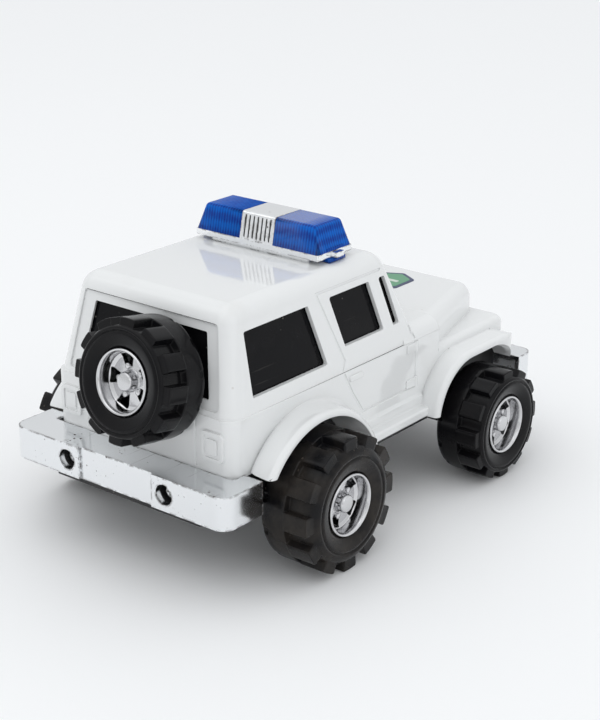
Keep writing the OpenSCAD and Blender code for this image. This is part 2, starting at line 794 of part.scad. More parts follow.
module body_shell() {
    color("#f3f5f6") car() difference() {
        union() {
            difference() {
                union() {
                    body_outside();
                    both_sides() {
                        tail_lamp();
                        door_furniture();
                        rear_flare();
                        front_flare();
                    }
                }
                body_inside();
                both_sides() {
                    rear_arch();
                    front_arch();
                }
                side_windows();
                end_windows();
                rear_frame();
                both_sides() door_seams();
                grille_pocket(push_fit);
            }
            body_posts();
            both_sides() running_board();
        }
        both_sides() for (p = [post_front, post_rear])
            translate([p.x, p.y, sill_z - over]) cylinder(r = screw_r + push_fit, h = screw_len + over);
        for (y = [-1, 1]) translate([tray_x + tray_d / 2, y * bar_screw_y, roof_z - roof_r])
            cylinder(r = screw_r + push_fit, h = roof_r + over);
        translate([spare_x, -spare_right, spare_z]) rotate([0, rear_lean - 90, 0])
            translate([0, 0, -4 * wall]) cylinder(r = flange_r + gap, h = 8 * wall);
    }
}

// Black liner behind every window, one moulding
module window_liner() {
    d = wall + gap;
    color("#17181b") car() difference() {
        union() {
            difference() {
                greenhouse(d);
                greenhouse(d + liner_t);
                translate([-tail_reach - over, -body_w, 0])
                    cube([2 * wheelbase, 2 * body_w, belt_z + wall]);
                for (y = [-1, 1]) translate([tray_x + tray_d / 2, y * bar_screw_y, roof_z / 2])
                    cylinder(r = head_r + gap, h = roof_z);
            }
            intersection() {
                greenhouse(d);
                translate([spare_x, -spare_right, spare_z]) rotate([0, rear_lean - 90, 0])
                    translate([0, 0, -d - liner_boss_h]) cylinder(r = boss_r, h = liner_boss_h + d);
            }
        }
        translate([spare_x, -spare_right, spare_z]) rotate([0, rear_lean - 90, 0])
            translate([0, 0, -d - liner_boss_h - over])
                cylinder(r = screw_r + push_fit, h = liner_boss_h + d + 2 * over);
    }
}

// Half width of the chassis
chassis_y = side_y - wall - gap;
// Outer end of the sleeves that the axles turn in, just short of the hubs
sleeve_end = half_track - sidewall_out - rim_w - gap;
// Outer end of the bearing blocks
bearing_end = min(chassis_y - house_t, sleeve_end);

// Bearing blocks of one axle and the sleeves that run on to the hubs
module bearings(x, z) {
    wide = axle_r + bearing_wall;
    both_sides() difference() {
        union() {
            translate([x - wide, bearing_end - bearing_w, z - wide])
                cube([2 * wide, bearing_w, plate_z + plate_t / 2 - z + wide]);
            translate([x, bearing_end - wall, z]) rotate([-90, 0, 0])
                cylinder(r = wide, h = sleeve_end - bearing_end + wall);
        }
        translate([x, 0, z]) rotate([-90, 0, 0]) cylinder(r = axle_r + running_fit, h = half_track);
    }
}

// Panels behind the arches of one axle: middles of the arch, height, radius, rear and front end
module wheel_house(places, z, r, x0, x1) {
    both_sides() intersection() {
        hull() for (x = places)
            side_disc(x, z, r + house_over, -wall - gap - house_t, -wall - gap);
        translate([x0, 0, plate_z]) cube([x1 - x0, body_w, body_w]);
    }
}

// Room in which the tyres of one axle turn
module wheel_room(x, r, w) {
    both_sides() translate([x, half_track - w - tyre_room, r]) rotate([-90, 0, 0])
        cylinder(r = r + tyre_room, h = w + tyre_room);
}

bumper_screw_z = [rear_bumper_z - bumper_h / 2, front_bumper_z - bumper_h / 2];

// Black chassis: floor, end walls, wheel houses, axle bearings and props for the liner
module chassis() {
    y = chassis_y;
    x0 = -tail_reach;
    x1 = nose_x - end_wall_t;
    color("#1b1c1f") car() difference() {
        union() {
            difference() {
                union() {
                    translate([0, 0, plate_z]) linear_extrude(plate_t)
                        polygon(rounded(
                            [[x0, -y], [x1 + end_wall_t, -y], [x1 + end_wall_t, y], [x0, y]],
                            [belt_r, nose_corner_r, nose_corner_r, belt_r]));
                    wheel_house([0], rear_arch_z, rear_root_r, x0 + belt_r, rear_arch_r + house_over);
                    wheel_house(front_arch_ends, front_arch_z, front_arch_r,
                        front_arch_ends[0] - front_arch_r - house_over, nose_x - nose_corner_r);
                }
                wheel_room(0, rear_tyre_r, rear_tyre_w);
                wheel_room(front_x, front_tyre_r, front_tyre_w);
            }
            translate([(front_x - pad_len) / 2, -pad_w / 2, plate_z - pad_t])
                cube([pad_len, pad_w, pad_t + plate_t / 2]);
            translate([x0, -y + belt_r, plate_z])
                cube([end_wall_t, 2 * y - 2 * belt_r, tail_z - gap - plate_z]);
            translate([x1, -bumper_screw_w / 2 - 2 * boss_r, front_bumper_z - bumper_h])
                cube([end_wall_t, bumper_screw_w + 4 * boss_r, bumper_h - gap]);
            for (s = [-1, 1]) {
                translate([x0, s * bumper_screw_w / 2, bumper_screw_z[0]]) rotate([0, 90, 0])
                    cylinder(r = boss_r, h = screw_len);
                translate([x1 + end_wall_t - screw_len, s * bumper_screw_w / 2, bumper_screw_z[1]])
                    rotate([0, 90, 0]) cylinder(r = boss_r, h = screw_len);
            }
            bearings(0, rear_tyre_r);
            bearings(front_x, front_tyre_r);
            both_sides() {
                prop_z = rear_arch_z + rear_root_r - house_over;
                translate([-prop_w / 2, y - house_t - gap, prop_z])
                    cube([prop_w, house_t, belt_z + wall - gap - prop_z]);
                translate([hinge_x - prop_w, y - house_t - gap, plate_z])
                    cube([prop_w, house_t, belt_z + wall - gap - plate_z]);
            }
        }
        for (s = [-1, 1]) {
            translate([x0 - over, s * bumper_screw_w / 2, bumper_screw_z[0]]) rotate([0, 90, 0])
                cylinder(r = screw_r + push_fit, h = screw_len + 2 * over);
            translate([x1 + end_wall_t - screw_len - over, s * bumper_screw_w / 2, bumper_screw_z[1]])
                rotate([0, 90, 0]) cylinder(r = screw_r + push_fit, h = screw_len + 2 * over);
            for (p = [post_front, post_rear])
                translate([p.x, s * p.y, plate_z - over])
                    cylinder(r = screw_r + push_fit, h = plate_t + 2 * over);
        }
    }
}

// Channel-shaped bumper in its own frame: +X points out of the car, 0 is the body's end face
module bumper(d, z, wing, mid_d) {
    difference() {
        translate([0, 0, z - bumper_h]) linear_extrude(bumper_h)
            polygon(rounded(
                [[-wing, -bumper_w / 2], [d, -bumper_w / 2], [d, bumper_w / 2], [-wing, bumper_w / 2]],
                [0, bumper_r, bumper_r, 0]));
        difference() {
            translate([-wing - over, -bumper_w / 2 + bumper_wall, z - bumper_h - over])
                cube([wing + over + d - bumper_wall - bumper_mid_d, bumper_w - 2 * bumper_wall,
                    bumper_h + over - bumper_wall]);
            for (s = [-1, 1])
                translate([0, s * bumper_screw_w / 2, z - bumper_h / 2]) rotate([0, 90, 0])
                    cylinder(r = well_r + bumper_wall, h = d);
            for (y = [-1, 1]) translate([0, y * bumper_w / 2 - bumper_wall, z - bumper_h])
                cube([d, 2 * bumper_wall, bumper_h]);
        }
        translate([-wing - over, -side_y - gap, z - bumper_h - over])
            cube([wing + over, body_w + 2 * gap, bumper_h + 2 * over]);
        translate([d - mid_d, -bumper_mid_w / 2, z - bumper_h - over])
            cube([mid_d + over, bumper_mid_w, bumper_h + 2 * over]);
        for (s = [-1, 1]) translate([0, s * bumper_screw_w / 2, z - bumper_h / 2]) rotate([0, 90, 0]) {
            translate([0, 0, -over]) cylinder(r = screw_r + push_fit, h = d + 2 * over);
            translate([0, 0, d - well_depth]) cylinder(r = well_r, h = well_depth + over);
        }
    }
}

module rear_bumper() {
    color("#d5d9dd") car() translate([-tail_reach - gap, 0, 0]) mirror([1, 0, 0])
        bumper(rear_bumper_d, rear_bumper_z, rear_bumper_wing, bumper_mid_d);
}

module front_bumper() {
    color("#d5d9dd") car() translate([nose_x + gap, 0, 0])
        bumper(front_bumper_d, front_bumper_z, front_bumper_wing, 0);
}

module rear_bumper_screws() {
    color("#8f9397") car() for (s = [-1, 1])
        translate([rear_bumper_x + well_depth, s * bumper_screw_w / 2, bumper_screw_z[0]])
            rotate([0, 90, 0]) screw();
}

module front_bumper_screws() {
    color("#8f9397") car() for (s = [-1, 1])
        translate([front_bumper_x - well_depth, s * bumper_screw_w / 2, bumper_screw_z[1]])
            rotate([0, -90, 0]) screw();
}

module body_screws() {
    color("#8f9397") car() both_sides() for (p = [post_front, post_rear])
        translate([p.x, p.y, plate_z]) screw();
}

// Chrome grille with two headlamps, pushed into the nose
module grille() {
    z = (wing_z - wing_r + nose_z) / 2;
    slot_span = grille_w - 8 * headlamp_r;
    pitch = slot_span / grille_slots;
    color("#d5d9dd") car() {
        difference() {
            translate([nose_x - wall / 2, -grille_w / 2, z - grille_h / 2])
                cube([wall, grille_w, grille_h]);
            for (i = [0:grille_slots - 1])
                translate([nose_x, -slot_span / 2 + pitch * (i + slot_share / 2), z - headlamp_r])
                    cube([wall + over, pitch * (1 - slot_share), 2 * headlamp_r]);
        }
        for (s = [-1, 1]) translate([nose_x + wall / 2, s * (grille_w / 2 - 2 * headlamp_r), z])
            rotate([0, 90, 0])
            rotate_extrude()
                polygon([[0, -wall / 2], [headlamp_r, -wall / 2], [headlamp_r, wall / 2],
                    [headlamp_r - wall / 2, wall / 2], [headlamp_r / 2, wall], [0, wall]]);
    }
}

// Share of a slot pitch that the bars of the grille take
slot_share = 0.45;

// Inward run of a lens's outer end over that of its long sides
end_share = 1.5;

// Chrome tray of the light bar with its plinth and the ribbed block between the lenses
module light_bar_base() {
    top = lens_h * tan(lens_lean);
    pitch = block_w / (block_grooves + 1);
    color("#d5d9dd") car() translate([tray_x, 0, 0]) difference() {
        union() {
            translate([0, -tray_w / 2, tray_z]) cube([tray_d, tray_w, tray_t]);
            translate([plinth_h, -plinth_w / 2, roof_z])
                cube([tray_d - 2 * plinth_h, plinth_w, plinth_h]);
            both_sides() translate([tray_d / 2 - tab_out, tray_w / 2, tray_z])
                cube([2 * tab_out, tab_out, tray_t]);
            across(block_w)
                polygon([[gap, lens_z], [tray_d - gap, lens_z], [tray_d - gap - top, lens_z + lens_h],
                    [gap + top, lens_z + lens_h]]);
        }
        for (i = [1:block_grooves], x = [0, 1]) {
            y = -block_w / 2 + i * pitch;
            translate([x * tray_d, y, lens_z + tray_t / 2]) rotate([0, (1 - 2 * x) * lens_lean, 0])
                translate([-block_groove_d - gap, -pitch / 4, 0])
                    cube([2 * (block_groove_d + gap), pitch / 2, lens_h * groove_share]);
        }
        both_sides() translate([lug_x - lug_w / 2 - gap, tray_w / 2 - 3 * lug_t - gap, tray_z - over])
            cube([lug_w + 2 * gap, lug_t + 2 * gap, tray_t + 2 * over]);
        for (y = [-1, 1]) translate([tray_d / 2, y * bar_screw_y, roof_z - over])
            cylinder(r = screw_r + push_fit, h = screw_len);
    }
}

// Share of the ribbed block's height that its grooves take
groove_share = 0.84;

// Blue lens on the left: a hollow hood with a lug that hooks under the tray
module lens() {
    y0 = block_w / 2 + gap;
    y1 = tray_w / 2;
    top = lens_h * tan(lens_lean);
    module hood(d, low) {
        intersection() {
            along(0, tray_d)
                polygon(rounded(
                    [[y0 + d, lens_z - low], [y1 - d, lens_z - low],
                        [y1 - d - end_share * top, lens_z + lens_h - d], [y0 + d, lens_z + lens_h - d]],
                    [0, 0, lens_r - d, lens_r - d]));
            across(tray_w)
                polygon(rounded(
                    [[gap + d, lens_z - low], [tray_d - gap - d, lens_z - low],
                        [tray_d - gap - d - top, lens_z + lens_h - d],
                        [gap + d + top, lens_z + lens_h - d]],
                    [0, 0, lens_r - d, lens_r - d]));
        }
    }
    car() translate([tray_x, 0, 0]) {
        difference() {
            hood(0, 0);
            hood(lens_wall, over);
        }
        translate([lug_x - lug_w / 2, y1 - 3 * lug_t, roof_z + gap])
            cube([lug_w, lug_t, lens_z - roof_z + lens_wall - gap]);
        translate([lug_x - lug_w / 2, y1 - 3 * lug_t, roof_z + gap]) cube([lug_w, 4 * lug_t, lug_t]);
        translate([lug_x - lug_w / 2, y1 - 3 * lug_t, lens_z])
            cube([lug_w, 2 * lug_t + lens_wall, lens_wall]);
    }
}

module left_lens() {
    color("#0b4fd0", 0.85) lens();
}

module right_lens() {
    color("#0b4fd0", 0.85) mirror([0, 1, 0]) lens();
}

module light_bar_screws() {
    color("#8f9397") car() for (y = [-1, 1])
        translate([tray_x + tray_d / 2, y * bar_screw_y, roof_z - wall - push_fit]) screw();
}

// Plain sticker on the bonnet
module bonnet_badge() {
    color("#4f8f68") car() translate([front_x + bonnet_reach * post_share, 0, bonnet_z - bonnet_step])
        linear_extrude(badge_t)
        polygon(rounded(
            [[-badge_len / 2, -badge_w / 2], [badge_len / 4, -badge_w / 2], [badge_len / 2, 0],
                [badge_len / 4, badge_w / 2], [-badge_len / 2, badge_w / 2]],
            [badge_w / 8, badge_w / 6, badge_w / 8, badge_w / 6, badge_w / 8]));
}

// Rim in a wheel's local frame with a blind bore of radius bore
module rim(bore) {
    inner = barrel_r - barrel_wall;
    disc = -dish_depth - spoke_t;
    difference() {
        union() {
            rotate_extrude()
                polygon([[inner, -rim_w], [barrel_r, -rim_w], [barrel_r, -lip_t], [rim_r, -lip_t],
                    [rim_r, -lip_t / 3], [rim_r - lip_t / 3, 0], [inner, -lip_t / 3]]);
            difference() {
                translate([0, 0, disc]) cylinder(r = inner + barrel_wall / 2, h = spoke_t);
                for (i = [0:spoke_count - 1]) rotate((i + 1 / 2) * 360 / spoke_count)
                    translate([0, 0, disc - over]) linear_extrude(spoke_t + 2 * over)
                        polygon([[cap_r, -nut_r * nut_room_share],
                            [inner * window_share, -inner * window_half_share],
                            [inner * window_share, inner * window_half_share],
                            [cap_r, nut_r * nut_room_share]]);
            }
            translate([0, 0, -rim_w]) cylinder(r = hub_r, h = rim_w - dish_depth);
            translate([0, 0, disc]) cylinder(r = cap_r, h = -disc - cap_back);
            for (i = [0:spoke_count - 1]) rotate((i + 1 / 2) * 360 / spoke_count)
                translate([hub_r + nut_r / 2, 0, disc]) cylinder(r = nut_r, h = spoke_t + nut_h);
        }
        translate([0, 0, -rim_w - over]) cylinder(r = bore, h = rim_w + over - dish_depth);
    }
}

// Shares of the rim's inner radius that a window between spokes reaches out to and is half as wide as
window_share = 0.94;
window_half_share = 0.3;
// Half the inner width of such a window over the radius of the nut in it
nut_room_share = 1.3;

// Tyre in a wheel's local frame
module tyre(r, w) {
    pitch = 360 / lug_count;
    difference() {
        union() {
            rotate_extrude() polygon(tyre_outline(r, w));
            for (i = [0:lug_count - 1]) rotate((i - lug_angle_share / 2) * pitch)
                rotate_extrude(angle = pitch * lug_angle_share) polygon(lug_outline(r, w));
        }
        rotate_extrude()
            polygon([[groove_r - groove_w, sidewall_out + groove_w / 2],
                [groove_r, sidewall_out - groove_w / 2],
                [groove_r + groove_w, sidewall_out + groove_w / 2]]);
        for (i = [0:lug_count - 1]) rotate((i + 1 / 2 - slit_angle_share / 2) * pitch)
            rotate_extrude(angle = pitch * slit_angle_share) polygon(slit_outline(r, w));
    }
}

module rear_axle() {
    color("#a9adb1") car() translate([0, 0, rear_tyre_r]) rotate([90, 0, 0])
        cylinder(r = axle_r, h = axle_len, center = true);
}

module front_axle() {
    color("#a9adb1") car() translate([front_x, 0, front_tyre_r]) rotate([90, 0, 0])
        cylinder(r = axle_r, h = axle_len, center = true);
}

// Length of both axles, to just short of the ends of the rims' bores
axle_len = 2 * (half_track - sidewall_out - dish_depth - gap);

module rear_left_rim() {
    color("#d5d9dd") wheel_at(0, rear_tyre_r, 1) rim(axle_r + push_fit);
}

module rear_right_rim() {
    color("#d5d9dd") wheel_at(0, rear_tyre_r, -1) rim(axle_r + push_fit);
}

module front_left_rim() {
    color("#d5d9dd") wheel_at(front_x, front_tyre_r, 1) rim(axle_r + push_fit);
}

module front_right_rim() {
    color("#d5d9dd") wheel_at(front_x, front_tyre_r, -1) rim(axle_r + push_fit);
}

module rear_left_tyre() {
    color("#1d1d1f") wheel_at(0, rear_tyre_r, 1) tyre(rear_tyre_r, rear_tyre_w);
}

module rear_right_tyre() {
    color("#1d1d1f") wheel_at(0, rear_tyre_r, -1) tyre(rear_tyre_r, rear_tyre_w);
}

module front_left_tyre() {
    color("#1d1d1f") wheel_at(front_x, front_tyre_r, 1) tyre(front_tyre_r, front_tyre_w);
}

module front_right_tyre() {
    color("#1d1d1f") wheel_at(front_x, front_tyre_r, -1) tyre(front_tyre_r, front_tyre_w);
}

// Ring on the spigot that snaps into a groove in the spare's bore, grown by d
module snap_ring(d) {
    translate([0, 0, spigot_len - 2 * snap_w]) rotate_extrude()
        polygon([[0, -snap_w - d], [spigot_r, -snap_w - d], [spigot_r + snap_h + d, -d],
                 [spigot_r + snap_h + d, d], [spigot_r, snap_w + d], [0, snap_w + d]]);
}

// Spigot that carries the spare, screwed to the liner from inside
spigot_len = spare_seat - dish_depth - gap;
module spare_spigot() {
    color("#1b1c1f") spare_at() difference() {
        union() {
            translate([0, 0, -wall - gap]) cylinder(r = flange_r, h = spare_seat - rim_w + wall);
            cylinder(r = spigot_r, h = spigot_len);
            snap_ring(0);
        }
        translate([0, 0, -wall - gap - over])
            cylinder(r = screw_r + push_fit, h = screw_len - liner_boss_h + 2 * over);
    }
}

module spare_screw() {
    color("#8f9397") spare_at() translate([0, 0, -wall - gap - liner_boss_h]) screw();
}

module spare_rim() {
    color("#d5d9dd") spare_at() difference() {
        translate([0, 0, spare_seat]) rim(spigot_r + running_fit);
        snap_ring(running_fit);
    }
}

module spare_tyre() {
    color("#1d1d1f") spare_at() translate([0, 0, spare_seat]) tyre(front_tyre_r, front_tyre_w);
}

body_shell();
window_liner();
chassis();
rear_bumper();
front_bumper();
rear_bumper_screws();
front_bumper_screws();
body_screws();
grille();
light_bar_base();
left_lens();
right_lens();
light_bar_screws();
bonnet_badge();
rear_axle();
rear_left_rim();
rear_right_rim();
rear_left_tyre();
rear_right_tyre();
front_axle();
front_left_rim();
front_right_rim();
front_left_tyre();
front_right_tyre();
spare_spigot();
spare_screw();
spare_rim();
spare_tyre();
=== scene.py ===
"""Looks of the toy police car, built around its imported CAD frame.

All pieces are drawn in millimetres from the rear axle (X ahead, Y left, Z up, ground at 0) and are
moved into the frame, in metres, when they are finished.
"""
import json
import logging
import math
from dataclasses import dataclass, field
from enum import Enum
from typing import Callable, Iterable, Sequence

import bmesh
import bpy
from mathutils import Matrix, Vector


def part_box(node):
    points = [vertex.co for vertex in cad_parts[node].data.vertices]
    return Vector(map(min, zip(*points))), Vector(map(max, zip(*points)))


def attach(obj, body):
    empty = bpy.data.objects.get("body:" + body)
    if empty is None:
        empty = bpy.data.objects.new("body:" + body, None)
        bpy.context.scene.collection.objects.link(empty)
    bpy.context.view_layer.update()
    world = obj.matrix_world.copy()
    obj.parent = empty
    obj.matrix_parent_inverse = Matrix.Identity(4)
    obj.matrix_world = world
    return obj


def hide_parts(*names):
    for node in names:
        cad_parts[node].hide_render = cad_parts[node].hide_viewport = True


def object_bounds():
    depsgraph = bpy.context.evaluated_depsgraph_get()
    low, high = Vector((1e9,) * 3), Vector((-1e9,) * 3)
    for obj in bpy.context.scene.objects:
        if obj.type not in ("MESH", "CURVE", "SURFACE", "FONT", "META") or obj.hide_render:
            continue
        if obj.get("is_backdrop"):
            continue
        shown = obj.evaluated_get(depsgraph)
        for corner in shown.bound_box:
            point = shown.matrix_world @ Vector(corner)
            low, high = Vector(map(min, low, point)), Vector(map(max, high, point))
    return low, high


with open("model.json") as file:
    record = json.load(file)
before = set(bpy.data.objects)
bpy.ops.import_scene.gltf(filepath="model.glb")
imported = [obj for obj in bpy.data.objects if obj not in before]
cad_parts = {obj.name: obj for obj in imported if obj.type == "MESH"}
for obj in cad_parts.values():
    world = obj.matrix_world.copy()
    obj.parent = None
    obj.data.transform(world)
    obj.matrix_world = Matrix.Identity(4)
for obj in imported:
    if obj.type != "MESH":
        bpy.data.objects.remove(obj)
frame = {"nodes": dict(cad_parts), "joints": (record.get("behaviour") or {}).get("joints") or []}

logging.basicConfig(level=logging.INFO, format="%(name)s: %(message)s")
log = logging.getLogger("toy_car")

MM = 0.001
WELD = 0.005 * MM
SPLIT_WELD = 0.001 * MM
BEVEL_WELD_MM = 1e-4
LATHE_WELD_MM = 1e-5
SOFT_ANGLE = math.radians(32)
Point = tuple[float, float]
Colour = tuple[float, float, float]
Triple = tuple[float, float, float]
Box = tuple[float, float, float, float]
Node, Socket, Tree = bpy.types.Node, bpy.types.NodeSocket, bpy.types.NodeTree


class Along(Enum):
    """Direction in which an outline is drawn out: places of its two coordinates, then of the run."""

    X = (1, 2, 0)
    Y = (0, 2, 1)
    Z = (0, 1, 2)


class Side(Enum):
    """Side of the car, as the sign of Y."""

    LEFT = 1
    RIGHT = -1

    @property
    def word(self) -> str:
        """Its word in the names of pieces."""
        return self.name.lower()


class Join(Enum):
    """Ways in which two solids are combined."""

    UNION = "UNION"
    CUT = "DIFFERENCE"
    COMMON = "INTERSECT"


# Outlines


def corner_arc(before: Point, at: Point, after: Point, radius: float, steps: int) -> list[Point]:
    """Points of one rounded corner.

    Args:
        before: Outline point before the corner.
        at: The corner itself.
        after: Outline point after the corner.
        radius: Rounding, 0 for a sharp corner.
        steps: Steps in the arc.

    Returns:
        The points that stand in for the corner.
    """
    if radius <= 0:
        return [at]
    here = Vector(at)
    u, v = (Vector(before) - here).normalized(), (Vector(after) - here).normalized()
    half = u.angle(v) / 2
    middle = here + (u + v).normalized() * radius / math.sin(half)
    first = here + u * radius / math.tan(half) - middle
    last = here + v * radius / math.tan(half) - middle
    start = math.atan2(first.y, first.x)
    turn = (math.atan2(last.y, last.x) - start + 3 * math.pi) % (2 * math.pi) - math.pi
    angles = [start + turn * i / steps for i in range(steps + 1)]
    return [(middle.x + radius * math.cos(a), middle.y + radius * math.sin(a)) for a in angles]


def rounded(points: Sequence[Point], radii: Sequence[float] | float, steps: int = 6) -> list[Point]:
    """Outline with rounded corners.

    Args:
        points: Corners in order.
        radii: Rounding of each corner, or one for all.
        steps: Steps in each arc.

    Returns:
        The rounded outline.
    """
    count = len(points)
    each = [radii] * count if isinstance(radii, (int, float)) else radii
    out: list[Point] = []
    for i, point in enumerate(points):
        out += corner_arc(points[i - 1], point, points[(i + 1) % count], each[i], steps)
    return out


def rectangle(u0: float, v0: float, u1: float, v1: float) -> list[Point]:
    """Corners of a rectangle, counter-clockwise from the lowest."""
    return [(u0, v0), (u1, v0), (u1, v1), (u0, v1)]


def circle(u: float, v: float, radius: float, steps: int = 96) -> list[Point]:
    """Points of a circle around u, v."""
    turns = [2 * math.pi * i / steps for i in range(steps)]
    return [(u + radius * math.cos(a), v + radius * math.sin(a)) for a in turns]


def reaches(z: float) -> Callable[[bmesh.types.BMEdge], bool]:
    """Test for edges that go above a height."""
    return lambda edge: max(v.co.z for v in edge.verts) > z


class Solid:
    """A closed mesh under construction, in millimetres."""

    def __init__(self, mesh: bmesh.types.BMesh) -> None:
        """Keeps the mesh and turns its faces outward."""
        self.bm = mesh
        mesh.normal_update()
        bmesh.ops.recalc_face_normals(mesh, faces=mesh.faces)
        if mesh.calc_volume(signed=True) < 0:
            bmesh.ops.reverse_faces(mesh, faces=mesh.faces)

    @classmethod
    def prism(cls, outline: Sequence[Point], along: Along, low: float, high: float) -> "Solid":
        """Outline drawn out along an axis.

        Args:
            outline: Points over the two other axes.
            along: Axis of the run.
            low: Start of the run.
            high: End of the run.

        Returns:
            The prism.
        """
        return cls.loft([outline, outline], along, [low, high])

    @classmethod
    def plate(cls, box: Box, radius: float, along: Along, run: Point, steps: int = 3) -> "Solid":
        """Rectangle with rounded corners drawn out along an axis.

        Args:
            box: Two opposite corners of the rectangle.
            radius: Rounding of its corners.
            along: Axis of the run.
            run: Start and end of the run.
            steps: Steps in each corner.

        Returns:
            The plate.
        """
        return cls.prism(rounded(rectangle(*box), radius, steps), along, *run)

    @classmethod
    def loft(cls, outlines: Sequence[Sequence[Point]], along: Along, places: Sequence[float]) -> "Solid":
        """Skin over outlines of the same number of points, closed at both ends.

        Args:
            outlines: One outline for each place.
            along: Axis of the run.
            places: Where each outline lies on that axis.

        Returns:
            The lofted solid.
        """
        order = [along.value.index(axis) for axis in range(3)]
        rings = []
        for outline, place in zip(outlines, places):
            rings.append([[(*point, place)[k] for k in order] for point in outline])
        return cls.skin(rings)

    @classmethod
    def lathe(cls, profile: Sequence[Point], steps: int = 96) -> "Solid":
        """Closed profile of radius and height turned about Z.

        Args:
            profile: Points of radius and height.
            steps: Steps in the turn.

        Returns:
            The turned solid.
        """
        turns = [math.radians(360.0 * i / steps) for i in range(steps)]
        rings = [[(r * math.cos(a), r * math.sin(a), h) for r, h in profile] for a in turns]
        return cls.skin(rings, closed=True, weld=True)

    @classmethod
    def skin(cls, rings: Sequence[Sequence], closed: bool = False, weld: bool = False) -> "Solid":
        """Skin over rings of points.

        Args:
            rings: Rings of the same number of points.
            closed: Whether the last ring joins the first one; if not, both ends become faces.
            weld: Whether points that coincide are joined.

        Returns:
            The solid.
        """
        bm = bmesh.new()
        made = [[bm.verts.new(point) for point in ring] for ring in rings]
        for a, b in zip(made, made[1:] + made[:1] if closed else made[1:]):
            for i in range(len(a)):
                bm.faces.new((a[i - 1], a[i], b[i], b[i - 1]))
        if not closed:
            bm.faces.new(made[0])
            bm.faces.new(made[-1])
        if weld:
            bmesh.ops.remove_doubles(bm, verts=bm.verts, dist=LATHE_WELD_MM)
            bmesh.ops.dissolve_degenerate(bm, edges=bm.edges, dist=LATHE_WELD_MM / 10)
        return cls(bm)

    def moved(self, matrix: Matrix) -> "Solid":
        """A copy moved by a matrix."""
        bm = self.bm.copy()
        bm.transform(matrix)
        return Solid(bm)

    def mirrored(self) -> "Solid":
        """A copy on the other side of the car."""
        return self.moved(Matrix.Scale(-1, 4, Vector((0, 1, 0))))

    def bevelled(self, pick: Callable[[bmesh.types.BMEdge], bool], radius: float, steps: int = 6) -> "Solid":
        """Rounds some edges.

        Args:
            pick: Says whether an edge is rounded.
            radius: Rounding.
            steps: Steps over the rounding.

        Returns:
            This solid.
        """
        edges = [e for e in self.bm.edges if pick(e)]
        bmesh.ops.bevel(
            self.bm, geom=edges, offset=radius, offset_type="OFFSET", segments=steps, profile=0.5,
            affect="EDGES", clamp_overlap=True)
        bmesh.ops.remove_doubles(self.bm, verts=self.bm.verts, dist=BEVEL_WELD_MM)
        return self

    def joined(self, others: Iterable["Solid"], how: Join) -> "Solid":
        """Combines this solid with others by booleans.

        Args:
            others: The other solids, one after the other.
            how: Way of combining.

        Returns:
            A new solid.
        """
        scene = bpy.context.scene.collection

        def stand(bm: bmesh.types.BMesh) -> bpy.types.Object:
            """Puts a mesh into the scene as an object of its own."""
            mesh = bpy.data.meshes.new("tool")
            bm.to_mesh(mesh)
            held = bpy.data.objects.new("tool", mesh)
            scene.objects.link(held)
            return held

        held = [stand(self.bm)]
        for other in others:
            held.append(stand(other.bm))
            modifier = held[0].modifiers.new("join", "BOOLEAN")
            modifier.operation, modifier.solver, modifier.object = how.value, "MANIFOLD", held[-1]
        view = bpy.context.evaluated_depsgraph_get()
        bm = bmesh.new()
        bm.from_mesh(held[0].evaluated_get(view).to_mesh())
        for one in held:
            mesh = one.data
            bpy.data.objects.remove(one)
            bpy.data.meshes.remove(mesh)
        return Solid(bm)

    def united(self, *others: "Solid") -> "Solid":
        """This solid and the others as one."""
        return self.joined(others, Join.UNION)

    def cut(self, *others: "Solid") -> "Solid":
        """This solid without the others."""
        return self.joined(others, Join.CUT)

    @staticmethod
    def both(solids: Sequence["Solid"]) -> list["Solid"]:
        """Solids of the left side and their mirror images."""
        return [*solids, *(one.mirrored() for one in solids)]

    def mesh(self, name: str, matrix: Matrix) -> bpy.types.Mesh:
        """A mesh for Blender.

        Args:
            name: Name of the mesh.
            matrix: Moves the solid from its own frame into the final one.

        Returns:
            The mesh, shaded smooth.
        """
        bm = self.bm.copy()
        bm.transform(matrix)
        for face in bm.faces:
            face.smooth = True
        mesh = bpy.data.meshes.new(name)
        bm.to_mesh(mesh)
        bm.free()
        return mesh


# Finishes


